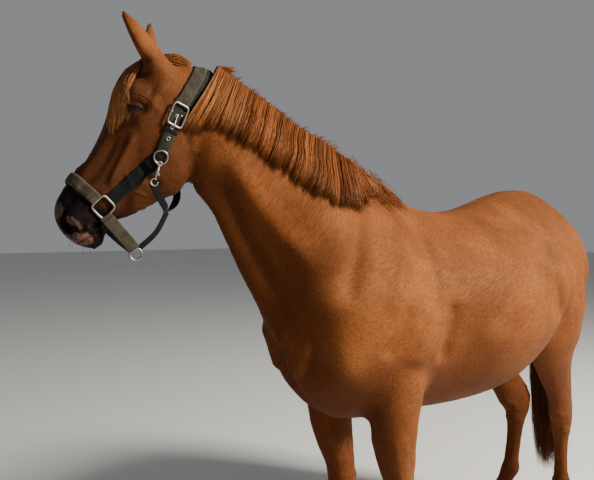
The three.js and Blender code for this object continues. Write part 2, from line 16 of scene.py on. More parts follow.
import bmesh
import bpy
import numpy as np
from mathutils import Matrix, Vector
from mathutils.bvhtree import BVHTree

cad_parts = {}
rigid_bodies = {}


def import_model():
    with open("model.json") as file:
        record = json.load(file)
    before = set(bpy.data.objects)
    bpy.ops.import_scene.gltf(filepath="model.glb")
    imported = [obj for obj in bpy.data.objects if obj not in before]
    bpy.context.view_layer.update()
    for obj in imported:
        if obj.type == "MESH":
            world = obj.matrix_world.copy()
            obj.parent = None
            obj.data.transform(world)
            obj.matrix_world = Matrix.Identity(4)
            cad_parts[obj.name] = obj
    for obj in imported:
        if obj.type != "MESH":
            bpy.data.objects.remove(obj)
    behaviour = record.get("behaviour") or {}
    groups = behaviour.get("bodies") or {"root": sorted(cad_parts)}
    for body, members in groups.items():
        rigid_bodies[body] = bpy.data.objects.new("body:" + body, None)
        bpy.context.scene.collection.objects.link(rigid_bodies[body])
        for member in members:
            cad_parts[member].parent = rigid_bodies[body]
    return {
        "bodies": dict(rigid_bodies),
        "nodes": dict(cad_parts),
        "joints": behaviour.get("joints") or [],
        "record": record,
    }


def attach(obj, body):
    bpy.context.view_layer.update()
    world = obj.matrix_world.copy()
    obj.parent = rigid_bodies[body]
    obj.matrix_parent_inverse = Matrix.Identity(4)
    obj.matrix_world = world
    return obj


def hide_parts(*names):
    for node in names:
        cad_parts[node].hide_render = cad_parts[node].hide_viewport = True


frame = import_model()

Array = np.ndarray
Place = Callable[[Array], Array]
Tone = tuple[float, float, float]
LOG = logging.getLogger("horse")
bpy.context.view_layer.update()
BODY = "root"
MM = 0.001
FORWARD_SHIFT = 287.69  # from the shoulders' origin to the middle of the bounding box
FULL_TURN = 2 * math.pi


# ---------------------------------------------------------------- small maths
def unit(vectors: Array) -> Array:
    """The vectors along the last axis at length one."""
    return vectors / np.maximum(np.linalg.norm(vectors, axis=-1, keepdims=True), 1e-9)


def step(value: Array, low: float, high: float) -> Array:
    """A smooth step: 0 below low, 1 above high, and 3s^2 - 2s^3 between them."""
    share = np.clip((value - low) / (high - low), 0, 1)
    return share * share * (3 - 2 * share)


def bell(away: Array, width: float) -> Array:
    """A bell curve, exp(-(away / width)^2)."""
    return np.exp(-((away / width) ** 2))


def turns(count: int) -> Array:
    """So many angles, evenly round a full turn."""
    return np.arange(count) * FULL_TURN / count


def everywhere(like: Array, value: Sequence[float]) -> Array:
    """One vector at every point of an array."""
    return np.zeros_like(like) + np.array(value)


def run_lengths(path: Array) -> Array:
    """How far along a path each of its points lies."""
    return np.concatenate([[0], np.cumsum(np.linalg.norm(np.diff(path, axis=0), axis=1))])


def catmull_rom(rows: Array, t: Array) -> Array:
    """A table's rows as smooth curves of one parameter.

    Each stretch is the cubic through its two rows, with half the chord of the neighbouring rows as tangents.

    Args:
        rows: one row for each knot.
        t: where to read the curves, 0 at the first row and 1 at the last.

    Returns:
        The columns' values at t.
    """
    rows = np.asarray(rows, float)
    knots = np.vstack([2 * rows[0] - rows[1], rows, 2 * rows[-1] - rows[-2]])
    position = np.clip(t, 0, 1) * (len(rows) - 1)
    k = np.minimum(position.astype(int), len(rows) - 2)
    w = (position - k)[..., None]
    before, start, end, after = knots[k], knots[k + 1], knots[k + 2], knots[k + 3]
    leave, arrive = (end - before) / 2, (after - start) / 2
    return (
        (2 * w**3 - 3 * w**2 + 1) * start
        + (w**3 - 2 * w**2 + w) * leave
        + (3 * w**2 - 2 * w**3) * end
        + (w**3 - w**2) * arrive
    )


def stroke_distance(points: Array, line: Sequence[Sequence[float]]) -> tuple[Array, Array]:
    """How far points lie from a line of straight stretches, and how far along it the nearest place is.

    Args:
        points: (n, d) points.
        line: the line's corners, d numbers each.

    Returns:
        The distances, and the shares of the line's length.
    """
    corners = np.asarray(line, float)
    lengths = np.linalg.norm(np.diff(corners, axis=0), axis=1)
    starts = np.concatenate([[0], np.cumsum(lengths)])
    best = np.full(len(points), np.inf)
    along = np.zeros(len(points))
    for k, length in enumerate(lengths):
        chord = corners[k + 1] - corners[k]
        share = np.clip((points - corners[k]) @ chord / length**2, 0, 1)
        distance = np.linalg.norm(points - corners[k] - share[:, None] * chord, axis=1)
        nearer = distance < best
        best = np.where(nearer, distance, best)
        along = np.where(nearer, (starts[k] + share * length) / starts[-1], along)
    return best, along


# ---------------------------------------------------------------- the pose
@dataclass(frozen=True)
class NeckPose:
    """The neck's gradual turn to the horse's right, and the head's place on it."""

    start: float = -430.0
    length: float = 520.0
    turn: float = math.radians(17)
    poll: tuple[float, float, float] = (0.0, -1118.0, 1893.0)
    head_pitch: float = math.radians(57)
    head_yaw: float = math.radians(-4)
    face_line: float = 100.0

    def angle(self, ahead: Array) -> Array:
        """The turn at a distance ahead of the neck's base, easing in and out over the length."""
        share = np.clip(ahead / self.length, 0, 1)
        return self.turn * share * share * (3 - 2 * share)

    def centre(self, ahead: Array) -> Array:
        """The turned centreline at a distance ahead: the running sum of its directions."""
        ticks = np.arange(0, 1600, 2.0)
        angles = self.angle((ticks[1:] + ticks[:-1]) / 2)
        x = np.concatenate([[0], np.cumsum(-2.0 * np.sin(angles))])
        y = self.start + np.concatenate([[0], np.cumsum(-2.0 * np.cos(angles))])
        return np.stack([np.interp(ahead, ticks, x), np.interp(ahead, ticks, y)], -1)

    def bend(self, points: Array) -> Array:
        """Points of the straight horse after the neck has turned."""
        ahead = self.start - points[..., 1]
        angle, centre = self.angle(ahead), self.centre(ahead)
        x = centre[..., 0] + points[..., 0] * np.cos(angle)
        y = centre[..., 1] - points[..., 0] * np.sin(angle)
        out = np.stack([x, y, points[..., 2]], -1)
        return np.where((ahead <= 0)[..., None], points, out)

    def straighten(self, points: Array) -> Array:
        """The opposite of bend: steps along the centreline until each point lies square beside its place."""
        ahead = self.start - points[..., 1]
        for _ in range(6):
            angle, centre = self.angle(ahead), self.centre(np.maximum(ahead, 0))
            away = points[..., :2] - centre
            ahead = ahead - away[..., 0] * np.sin(angle) - away[..., 1] * np.cos(angle)
        angle, centre = self.angle(ahead), self.centre(ahead)
        away = points[..., :2] - centre
        x = away[..., 0] * np.cos(angle) - away[..., 1] * np.sin(angle)
        out = np.stack([x, self.start - ahead, points[..., 2]], -1)
        return np.where((points[..., 1] >= self.start)[..., None], points, out)

    def axes(self) -> Array:
        """The head's own axes on the straight horse: out to the left, down the face and out of the face."""
        c, s = math.cos(self.head_pitch), math.sin(self.head_pitch)
        yaw = np.array(
            [
                [math.cos(self.head_yaw), -math.sin(self.head_yaw), 0],
                [math.sin(self.head_yaw), math.cos(self.head_yaw), 0],
                [0, 0, 1],
            ]
        )
        return np.array([[1, 0, 0], [0, -c, -s], [0, -s, c]]) @ yaw

    def on_head(self, points: Array) -> Array:
        """Points in head coordinates (out, down the face, out of the face) on the posed horse."""
        raised = np.asarray(points, float) + np.array([0, 0, self.face_line])
        return self.bend(raised @ self.axes() + np.array(self.poll))

    def off_head(self, points: Array) -> Array:
        """Points of the posed horse in head coordinates."""
        straight = self.straighten(points) - np.array(self.poll)
        return straight @ self.axes().T - np.array([0, 0, self.face_line])


NECK = NeckPose()


@dataclass(frozen=True)
class LegPose:
    """How a foot stands away from the square: back is positive, and the toe turns outwards by `turn`."""

    side: int
    joint: tuple[float, float]
    foot: tuple[float, float]
    turn: float
    axis: float
    top: float = 1000.0
    middle: float = 520.0
    ground: float = 120.0
    axis_out: float = 120.0

    def moves(self, z: Array) -> tuple[Array, Array]:
        """The step away from the square and the turn at a height."""
        share = np.clip((self.top - z) / (self.top - self.middle), 0, 1)
        low = np.clip((self.middle - z) / (self.middle - self.ground), 0, 1)
        away = np.stack([j * share * (1 - low) + f * low for j, f in zip(self.joint, self.foot)], -1)
        return away, math.radians(self.turn) * share

    def pose(self, points: Array) -> Array:
        """Points of the square left leg on the standing horse."""
        away, angle = self.moves(points[..., 2])
        dx, dy = points[..., 0] - self.axis_out, points[..., 1] - self.axis
        x = self.axis_out + dx * np.cos(angle) - dy * np.sin(angle) + away[..., 1]
        y = self.axis + dx * np.sin(angle) + dy * np.cos(angle) + away[..., 0]
        return np.stack([self.side * x, y, points[..., 2]], -1)

    def square(self, points: Array) -> Array:
        """The opposite of pose."""
        away, angle = self.moves(points[..., 2])
        dx = self.side * points[..., 0] - away[..., 1] - self.axis_out
        dy = points[..., 1] - away[..., 0] - self.axis
        x = self.axis_out + dx * np.cos(angle) + dy * np.sin(angle)
        y = self.axis - dx * np.sin(angle) + dy * np.cos(angle)
        return np.stack([x, y, points[..., 2]], -1)


class Limb(Enum):
    """The four legs, each with the way it stands."""

    FORE_LEFT = LegPose(1, (26, 0), (10, 0), 4, -487)
    FORE_RIGHT = LegPose(-1, (0, 0), (-20, 0), 4, -487)
    HIND_LEFT = LegPose(1, (-8, 0), (8, 0), 4, 730)
    HIND_RIGHT = LegPose(-1, (10, -24), (-60, 0), 30, 730)

    @property
    def is_fore(self) -> bool:
        """Whether it is a fore leg."""
        return self.name.startswith("FORE")

    @property
    def node(self) -> str:
        """The end of the names of the leg's and the hoof's nodes."""
        return self.name.lower()


# ---------------------------------------------------------------- sections and lofts
@dataclass(frozen=True)
class Swelling:
    """A swelling or hollow that fades out over its reach: height * exp(-d^2), d in reaches from its place."""

    at: tuple[float, float, float]
    reach: tuple[float, float, float]
    height: float

    def lift(self, points: Array) -> Array:
        """The lift at points, the same on both sides of the horse."""
        mirrored = np.stack([np.abs(points[..., 0]), points[..., 1], points[..., 2]], -1)
        away = (mirrored - np.array(self.at)) / np.array(self.reach)
        return self.height * np.exp(-(away**2).sum(-1))


@dataclass(frozen=True)
class Loft:
    """A body through sections: front and back point, three half-widths, squareness, and how far out it is."""

    sections: tuple[tuple[float, ...], ...]
    swellings: tuple[Swelling, ...] = ()
    place: Place = lambda points: points

    def surface(self, t: Array, angle: Array, grow: float = 0.0) -> Array:
        """The surface as a function of two parameters.

        A section's share q from its front to its back is (1 - cos angle) / 2. The half-width there is a
        superellipse of q times a parabola through the three half-widths.

        Args:
            t: 0 at the first section and 1 at the last.
            angle: round the section, 0 at its front line, half a turn at its back line.
            grow: how far outside the body the surface lies.

        Returns:
            Points, in millimetres.
        """
        t, angle = np.broadcast_arrays(np.asarray(t, float), np.asarray(angle, float))
        row = catmull_rom(self.sections, t)
        front, back, half = row[..., 0:2], row[..., 2:4], row[..., 4:7]
        middle = (front + back) / 2
        along = unit(front - back) * grow
        front, back = front + along, back - along
        q = (1 - np.cos(angle)) / 2
        square = row[..., 7]
        envelope = np.maximum(0, 1 - np.abs(2 * q - 1) ** square) ** (1 / square)
        width = (1 - q) * (1 - 2 * q) * half[..., 0] + 4 * q * (1 - q) * half[..., 1]
        width = width + q * (2 * q - 1) * half[..., 2]
        side = np.sign(np.round(1e6 * np.sin(angle)))
        x = side * (envelope * np.maximum(4, width) + grow)
        yz = front * (1 - q)[..., None] + back * q[..., None]
        points = np.concatenate([x[..., None], yz], -1)
        heart = np.concatenate([np.zeros_like(x)[..., None], middle], -1)
        if self.swellings:
            lift = sum(swelling.lift(points) for swelling in self.swellings)
            points = points + unit(points - heart) * lift[..., None]
        points[..., 0] += row[..., 8]
        return self.place(points)

    def grid(self, rings: int, around: int, grow: float = 0.0) -> "Shell":
        """The closed body as a mesh, with a point in the middle of each end."""
        t = np.linspace(0, 1, rings)[:, None]
        return Shell.tube(self.surface(t, turns(around)[None, :], grow))


@dataclass
class Shell:
    """A mesh under construction: points in millimetres, faces of three or four corners."""

    points: Array
    quads: Array = field(default_factory=lambda: np.zeros((0, 4), int))
    triangles: Array = field(default_factory=lambda: np.zeros((0, 3), int))

    @staticmethod
    def tube(points: Array) -> "Shell":
        """A tube through (rings, around, 3) points, closed with a fan at each end."""
        rings, around = points.shape[:2]
        index = np.arange(rings * around).reshape(rings, around)
        beside = np.roll(index, -1, axis=1)
        quads = np.stack([index[:-1], beside[:-1], beside[1:], index[1:]], -1).reshape(-1, 4)
        flat = points.reshape(-1, 3)
        first, last = rings * around, rings * around + 1
        flat = np.vstack([flat, points[0].mean(0), points[-1].mean(0)])
        start = np.stack([beside[0], index[0], np.full(around, first)], -1)
        finish = np.stack([index[-1], beside[-1], np.full(around, last)], -1)
        return Shell(flat, quads, np.vstack([start, finish]))

    @staticmethod
    def torus(points: Array) -> "Shell":
        """A closed ring through (rings, around, 3) points, joined up both ways."""
        index = np.arange(points.shape[0] * points.shape[1]).reshape(points.shape[:2])
        beside, after = np.roll(index, -1, axis=1), np.roll(index, -1, axis=0)
        quads = np.stack([index, beside, np.roll(beside, -1, axis=0), after], -1).reshape(-1, 4)
        return Shell(points.reshape(-1, 3), quads)

    @staticmethod
    def joined(shells: Iterable["Shell"]) -> "Shell":
        """Several meshes as one."""
        shells = list(shells)
        starts = np.cumsum([0] + [len(shell.points) for shell in shells[:-1]])
        return Shell(
            np.vstack([shell.points for shell in shells]),
            np.vstack([shell.quads + start for shell, start in zip(shells, starts)]),
            np.vstack([shell.triangles + start for shell, start in zip(shells, starts)]),
        )

    def over(self, points: Array) -> "Shell":
        """The same faces over other points."""
        return Shell(points, self.quads, self.triangles)

    def turned(self) -> "Shell":
        """The same mesh with its faces the other way round."""
        return Shell(self.points, self.quads[:, ::-1], self.triangles[:, ::-1])

    def cut(self) -> Array:
        """The corners of the faces, with each quad cut into two triangles."""
        return np.vstack([self.triangles, self.quads[:, [0, 1, 2]], self.quads[:, [0, 2, 3]]])

    def outwards(self) -> "Shell":
        """The mesh with its faces pointing out of the volume that it closes."""
        a, b, c = self.points[self.cut().T]
        return self if np.einsum("ij,ij->i", a, np.cross(b, c)).sum() > 0 else self.turned()

    def normals(self) -> Array:
        """Normals at the points, the mean of the faces that meet there."""
        corners = self.cut()
        a, b, c = self.points[corners.T]
        face = np.cross(b - a, c - a)
        total = np.zeros_like(self.points)
        for k in range(3):
            for axis in range(3):
                total[:, axis] += np.bincount(corners[:, k], face[:, axis], len(self.points))
        return unit(total)

    def mesh(self, name: str, scale: float = MM, shift: float = FORWARD_SHIFT) -> bpy.types.Mesh:
        """The mesh as Blender holds it, in metres and in the frame of the whole model."""
        mesh = bpy.data.meshes.new(name)
        placed = (self.points + np.array([0, shift, 0])) * scale
        mesh.vertices.add(len(placed))
        mesh.vertices.foreach_set("co", placed.astype(np.float32).ravel())
        loops = np.concatenate([self.quads.ravel(), self.triangles.ravel()]).astype(np.int32)
        sizes = np.concatenate([np.full(len(self.quads), 4), np.full(len(self.triangles), 3)])
        starts = np.concatenate([[0], np.cumsum(sizes)[:-1]]).astype(np.int32)
        mesh.loops.add(len(loops))
        mesh.loops.foreach_set("vertex_index", loops)
        mesh.polygons.add(len(sizes))
        mesh.polygons.foreach_set("loop_start", starts)
        mesh.polygons.foreach_set("loop_total", sizes.astype(np.int32))
        mesh.polygons.foreach_set("use_smooth", np.ones(len(sizes), bool))
        mesh.update(calc_edges=True)
        mesh.validate()
        return mesh

    @staticmethod
    def read(mesh: bpy.types.Mesh, scale: float = MM, shift: float = FORWARD_SHIFT) -> "Shell":
        """A Blender mesh of triangles and quads as a shell, back in millimetres."""
        points = np.zeros(len(mesh.vertices) * 3, np.float32)
        mesh.vertices.foreach_get("co", points)
        loops = np.zeros(len(mesh.loops), np.int32)
        mesh.loops.foreach_get("vertex_index", loops)
        sizes = np.zeros(len(mesh.polygons), np.int32)
        mesh.polygons.foreach_get("loop_total", sizes)
        starts = np.concatenate([[0], np.cumsum(sizes)[:-1]])
        quads = loops[starts[sizes == 4][:, None] + np.arange(4)]
        triangles = loops[starts[sizes == 3][:, None] + np.arange(3)]
        return Shell(points.reshape(-1, 3) / scale - np.array([0, shift, 0]), quads, triangles)

    def tree(self) -> BVHTree:
        """The mesh as a tree for casting rays at, in millimetres."""
        faces = self.quads.tolist() + self.triangles.tolist()
        return BVHTree.FromPolygons(self.points.tolist(), faces)


def rows(*table: Sequence[float]) -> tuple[tuple[float, ...], ...]:
    """A table of sections, with squareness 2.2 and no offset where a row leaves them out."""
    return tuple(tuple(row) + (2.2, 0.0)[len(row) - 7 :] for row in table)


SPINE = Loft(
    rows(
        (822, 1330, 816, 1190, 40, 66, 60),
        (804, 1430, 804, 1090, 85, 140, 118),
        (765, 1508, 752, 1010, 112, 214, 165),
        (675, 1566, 650, 955, 132, 268, 200),
        (555, 1592, 535, 915, 142, 278, 190),
        (430, 1588, 420, 860, 150, 290, 190),
        (305, 1564, 300, 795, 160, 328, 232, 2.3),
        (175, 1528, 170, 750, 170, 344, 252, 2.3),
        (45, 1496, 40, 738, 176, 346, 248, 2.3),
        (-85, 1482, -90, 738, 166, 334, 232, 2.3),
        (-195, 1484, -210, 744, 136, 306, 205, 2.3),
        (-295, 1504, -325, 752, 96, 272, 176),
        (-380, 1536, -445, 760, 70, 248, 170),
        (-460, 1562, -575, 770, 62, 236, 184),
        (-530, 1590, -700, 806, 58, 228, 204, 2.4),
        (-600, 1624, -796, 902, 56, 218, 206, 2.5),
        (-680, 1664, -862, 1045, 50, 184, 158, 2.5),
        (-765, 1706, -920, 1164, 44, 138, 104, 2.4),
        (-850, 1752, -980, 1272, 40, 110, 76),
        (-930, 1802, -1026, 1368, 37, 95, 62),
        (-1005, 1848, -1070, 1456, 35, 86, 56),
        (-1070, 1880, -1120, 1518, 34, 80, 52),
        (-1112, 1888, -1152, 1590, 30, 66, 44),
    ),
    (
        Swelling((215, -560, 1130), (90, 120, 170), 16),
        Swelling((180, -735, 1000), (60, 60, 80), 20),
        Swelling((240, -420, 1010), (70, 90, 110), 12),
        Swelling((70, -775, 1000), (55, 50, 90), 16),
        Swelling((262, 470, 1120), (80, 150, 160), 12),
        Swelling((265, 330, 1440), (50, 60, 50), 14),
        Swelling((150, 600, 1400), (100, 120, 120), 6),
    ),
    NECK.bend,
)
HEAD = Loft(
    rows(
        (12, -96, 40, -160, 28, 44, 30),
        (34, -66, 80, -196, 52, 64, 44),
        (80, -22, 140, -214, 66, 82, 54, 2.5),
        (130, 14, 200, -226, 82, 92, 60, 2.7),
        (185, 34, 258, -240, 94, 92, 62, 3),
        (235, 35, 312, -264, 86, 84, 60, 3),
        (290, 22, 354, -264, 66, 75, 50, 2.8),
        (350, 13, 402, -232, 52, 64, 38, 2.5),
        (410, 8, 446, -210, 42, 56, 32, 2.5),
        (465, 5, 492, -182, 38, 51, 30, 2.5),
        (512, 4, 526, -160, 39, 51, 31, 2.5),
        (552, 0, 560, -160, 45, 55, 34, 2.5),
        (580, -10, 590, -165, 47, 57, 34, 2.4),
        (603, -34, 612, -148, 42, 52, 30, 2.3),
        (618, -62, 624, -118, 28, 34, 20, 2.2),
    ),
    (
        Swelling((92, 214, 6), (30, 36, 28), 22),
        Swelling((88, 290, -60), (30, 60, 26), 5),
        Swelling((84, 262, -190), (40, 75, 60), 8),
        Swelling((62, 150, -34), (24, 24, 22), -8),
        Swelling((64, 92, -34), (26, 34, 30), 11),
        Swelling((62, 420, -85), (26, 60, 14), 6),
        Swelling((48, 585, -50), (22, 26, 26), 8),
        Swelling((0, 600, -150), (36, 24, 24), 6),
    ),
    NECK.on_head,
)
FORE_LEG = rows(
    (-640, 1120, -455, 1120, 50, 62, 50, 2.2, 148),
    (-652, 1040, -425, 1030, 70, 84, 66, 2.2, 150),
    (-650, 960, -405, 935, 74, 86, 68, 2.2, 150),
    (-640, 880, -405, 862, 72, 84, 60, 2.2, 147),
    (-628, 800, -425, 790, 66, 78, 52, 2.2, 142),
    (-612, 720, -440, 715, 56, 70, 47, 2.2, 137),
    (-588, 640, -436, 635, 46, 59, 41, 2.2, 131),
    (-560, 575, -430, 570, 42, 51, 36, 2.2, 126),
    (-546, 510, -434, 515, 43, 46, 36, 2.4, 122),
    (-546, 460, -432, 465, 43, 47, 37, 2.4, 119),
    (-535, 415, -434, 425, 38, 43, 34, 2.4, 116),
    (-522, 375, -440, 380, 29, 33, 27, 2.3, 114),
    (-518, 310, -441, 310, 26, 28, 24, 2.3, 111),
    (-519, 255, -440, 255, 28, 31, 27, 2.3, 109),
    (-529, 215, -430, 222, 35, 38, 33, 2.3, 108),
    (-533, 185, -436, 190, 34, 36, 30, 2.3, 108),
    (-548, 150, -470, 142, 32, 34, 29, 2.3, 108),
    (-570, 112, -492, 98, 40, 43, 36, 2.3, 108),
    (-584, 92, -500, 74, 47, 50, 42, 2.3, 108),
)
HIND_LEG = rows(
    (380, 1260, 680, 1260, 60, 80, 60, 2.2, 150),
    (340, 1150, 740, 1170, 82, 118, 84, 2.2, 164),
    (318, 1060, 756, 1080, 84, 120, 88, 2.2, 167),
    (318, 985, 752, 1000, 78, 108, 74, 2.2, 166),
    (345, 922, 735, 935, 72, 100, 62, 2.2, 164),
    (395, 855, 715, 875, 62, 80, 48, 2.2, 158),
    (455, 790, 716, 810, 54, 66, 38, 2.2, 152),
    (515, 727, 734, 755, 47, 57, 29, 2.2, 145),
    (568, 662, 764, 696, 41, 49, 23, 2.2, 139),
    (602, 606, 796, 640, 38, 45, 22, 2.2, 134),
    (630, 556, 806, 582, 42, 46, 26, 2.3, 130),
    (662, 512, 796, 528, 43, 46, 31, 2.3, 127),
    (676, 466, 776, 472, 36, 40, 30, 2.3, 125),
    (685, 415, 771, 415, 29, 32, 27, 2.3, 123),
    (688, 340, 769, 340, 27, 30, 25, 2.3, 121),
    (688, 275, 771, 275, 29, 32, 27, 2.3, 120),
    (680, 235, 780, 240, 36, 39, 33, 2.3, 120),
    (674, 200, 770, 208, 34, 37, 30, 2.3, 120),
    (656, 160, 732, 150, 32, 34, 29, 2.3, 120),
    (634, 118, 710, 102, 40, 42, 36, 2.3, 120),
    (620, 94, 702, 76, 46, 48, 40, 2.3, 120),
)
TAIL = Loft(
    rows(
        (775, 1400, 796, 1452, 20, 24, 20),
        (812, 1386, 836, 1446, 26, 30, 26),
        (832, 1345, 874, 1404, 32, 36, 32),
        (840, 1286, 898, 1312, 38, 44, 38),
        (842, 1190, 908, 1195, 44, 52, 44),
        (838, 1040, 910, 1040, 48, 58, 48),
        (834, 870, 906, 870, 50, 61, 50),
        (830, 700, 900, 700, 48, 60, 48),
        (828, 540, 894, 540, 46, 56, 46),
        (830, 390, 888, 390, 40, 48, 40),
        (834, 260, 880, 260, 29, 35, 29),
        (846, 150, 866, 150, 10, 12, 10),
    )
)
DOCK = Loft(
    rows(
        (735, 1440, 752, 1478, 16, 20, 16),
        (782, 1408, 800, 1444, 16, 20, 16),
        (818, 1386, 840, 1420, 15, 19, 15),
        (842, 1340, 868, 1366, 13, 17, 13),
        (852, 1270, 884, 1286, 12, 15, 12),
        (860, 1180, 886, 1184, 8, 11, 8),
    )
)
COAT_DEPTH = 3.0  # the skin lies this far inside the outline of the coat


def leg_loft(limb: Limb) -> Loft:
    """A leg's loft, with one more section that carries it a little way down inside the hoof."""
    sections = FORE_LEG if limb.is_fore else HIND_LEG
    front_y, front_z, back_y, back_z, *rest = sections[-1]
    sunk = (front_y + 8, front_z - 16, back_y - 6, back_z - 12, *(width - 8 for width in rest[:3]), *rest[3:])
    return Loft(sections + (sunk,), (), limb.value.pose)


# ---------------------------------------------------------------- relief
class Zone(Enum):
    """The parts of the skin that have coordinates of their own."""

    BODY = 0
    HEAD = 1
    FORE = 2
    HIND = 3


@dataclass(frozen=True)
class Ridge:
    """A ridge or groove along a line, seen square to two of a zone's axes.

    Its height falls off as exp(-(d / width)^2) away from the line, and eases to nothing at the line's ends.
    """

    line: tuple[tuple[float, ...], ...]
    width: float
    height: float
    axes: tuple[int, ...] = (1, 2)
    facing: Optional[tuple[int, float]] = (0, 0.0)
    taper: float = 0.2

    def lift(self, points: Array, normals: Array) -> Array:
        """The lift at points of the zone, the same on both sides."""
        mirrored = np.stack([np.abs(points[:, 0]), points[:, 1], points[:, 2]], -1)
        distance, along = stroke_distance(mirrored[:, self.axes], self.line)
        lift = self.height * bell(distance, self.width)
        if self.taper > 0:
            lift = lift * step(along, 0, self.taper) * step(1 - along, 0, self.taper)
        if self.facing is not None:
            axis, sign = self.facing
            turned = np.abs(normals[:, axis]) if sign == 0 else sign * normals[:, axis]
            lift = lift * step(turned, 0.1, 0.45)
        return lift


HEAD_RELIEF = (
    Ridge(((292, -62), (350, -70), (462, -86)), 10, 7),  # crest of the face
    Ridge(((310, -96), (380, -104), (460, -108)), 15, -4),
    Ridge(((290, -44), (240, -60), (175, -52), (128, -50)), 12, 5),  # cheekbone's arch
    Ridge(((224, -12), (210, -40), (212, -66), (218, -94)), 13, 3.2),  # bony ridge over the eye
    Ridge(((184, -26), (180, -50), (184, -76)), 16, -3.6),  # hollow above it
    Ridge(((350, -112), (378, -160), (372, -212)), 11, -5),  # front edge of the cheek's muscle
    Ridge(((335, -246), (410, -220), (500, -170)), 8, 3),  # edge of the jaw
    Ridge(((250, -110), (290, -165), (285, -215)), 26, 3),
    Ridge(((195, -120), (215, -165), (240, -215)), 9, -2.5),
    Ridge(((300, -8), (420, -16), (520, -22)), 9, 2.5),  # edge of the nose's bone
    Ridge(((320, -34), (420, -42), (540, -30)), 9, -2.5),
    Ridge(((330, -50), (440, -62), (548, -48)), 8, 2),
    Ridge(((505, -32), (545, -28), (578, -26)), 9, -5),  # hollow above the nostril
    Ridge(((392, -98), (428, -140), (412, -196)), 4.5, 2.4),  # vein over the jaw
    Ridge(((462, -90), (505, -72), (556, -66)), 4, 1.8),
    Ridge(((428, -140), (470, -128), (512, -132)), 3.5, 1.5),
    Ridge(((556, -78), (584, -92), (600, -104)), 9, -3),  # between the nostril and the lip
    Ridge(((566, -108), (596, -106), (618, -92)), 11, 3.5),  # upper lip
    Ridge(((548, -140), (580, -138), (610, -124)), 9, 2.5),  # lower lip
    Ridge(((508, -146), (516, -132), (524, -116)), 4, -2.5, taper=0.3),
    Ridge(((498, -138), (506, -126), (512, -114)), 3.5, -1.5, taper=0.3),
    Ridge(((200, 0), (330, 0), (460, 0)), 24, -10, axes=(1, 0), facing=(2, -1.0)),  # between the jaws
    Ridge(((150, 0), (200, 0), (260, 0)), 10, 2, axes=(1, 0), facing=(2, 1.0)),
    Ridge(((300, 0), (400, 0), (540, 0)), 7, -1.6, axes=(1, 0), facing=(2, 1.0)),
    Ridge(((598, 0), (612, 0), (626, 0)), 4, -2.5, axes=(1, 0), facing=(1, 1.0)),  # groove of the upper lip
)
NOSTRIL = ((572, -34), (586, -39), (600, -50), (606, -66))
MUZZLE_DOWN = 480  # how far down the face the muzzle starts
MOUTH = ((517, -129), (552, -124), (590, -119), (616, -108), (636, -100))
BODY_RELIEF = (
    Ridge(((-400, 1500), (-520, 1320), (-650, 1120)), 34, 6),  # spine of the shoulder blade
    Ridge(((-335, 1440), (-400, 1260), (-440, 1120)), 26, -5),
    Ridge(((-590, 1570), (-690, 1370), (-760, 1170)), 30, -8),  # where the neck meets the shoulder
    Ridge(((-540, 1180), (-590, 1090), (-640, 1010)), 20, -5),
    Ridge(((-330, 1180), (-375, 1080), (-400, 960)), 24, -8),  # behind the elbow's muscle
    Ridge(((-440, 1170), (-500, 1060), (-530, 960)), 45, 6),
    Ridge(((-1080, 1565), (-1000, 1390), (-850, 1110)), 20, -7),  # groove of the neck
    Ridge(((-1060, 1640), (-960, 1480), (-800, 1270)), 34, 5),
    Ridge(((-1010, 1760), (-860, 1640), (-700, 1530)), 40, 4),
    Ridge(((-1040, 1840), (-900, 1745), (-720, 1640)), 16, -3),
    Ridge(((300, 1420), (262, 1250), (300, 1040)), 36, -9),  # flank
    Ridge(((345, 1440), (420, 1360), (520, 1330)), 20, 3),
    Ridge(((560, 1440), (628, 1250), (660, 1060)), 15, -5),  # grooves of the thigh
    Ridge(((650, 1400), (706, 1240), (716, 1080)), 13, -4.5),
    Ridge(((380, 1330), (450, 1180), (440, 1040)), 30, 4),
    Ridge(((-250, 1150), (-100, 900), (180, 850)), 60, 3),
    Ridge(((0, -870), (0, -780), (0, -660)), 20, -9, axes=(0, 1), facing=(1, -1.0)),  # breast's midline
    Ridge(((46, 1120), (70, 1030), (60, 940)), 26, 7, axes=(0, 2), facing=(1, -1.0)),
    Ridge(((90, 960), (130, 1010), (150, 1080)), 12, -5, axes=(0, 2), facing=(1, -1.0)),
    Ridge(((0, -300), (0, 0), (0, 260)), 10, 2.5, axes=(0, 1), facing=(2, -1.0)),  # belly's midline
    Ridge(((0, -200), (0, 200), (0, 700)), 14, -2.2, axes=(0, 1), facing=(2, 1.0)),  # along the back
    Ridge(((0, 1440), (0, 1300), (0, 1150)), 24, -12, axes=(0, 2), facing=(1, 1.0)),  # between the buttocks
)
FORE_RELIEF = (
    Ridge(((-596, 760), (-560, 640), (-530, 560)), 13, 4),  # muscles of the forearm
    Ridge(((-560, 800), (-520, 690), (-500, 590)), 9, -4),
    Ridge(((-500, 800), (-470, 690), (-462, 590)), 16, 3),
    Ridge(((-538, 528), (-500, 530), (-452, 524)), 7, 2.5),
    Ridge(((-540, 486), (-500, 488), (-456, 486)), 6, -2.5),  # knee
    Ridge(((-536, 444), (-500, 446), (-456, 444)), 9, 3),
    Ridge(((-446, 520), (-434, 500), (-440, 470)), 12, 6, taper=0),
    Ridge(((-478, 420), (-474, 330), (-476, 246)), 5.5, -4.5),  # between the cannon and the tendons
    Ridge(((-458, 410), (-455, 330), (-456, 250)), 3.5, -2),
    Ridge(((-500, 226), (-470, 214), (-446, 206)), 12, 3),  # fetlock
    Ridge(((-486, 190), (-500, 160), (-520, 132)), 7, -3),
    Ridge(((-545, 118), (-520, 108), (-500, 92)), 7, 2),
)
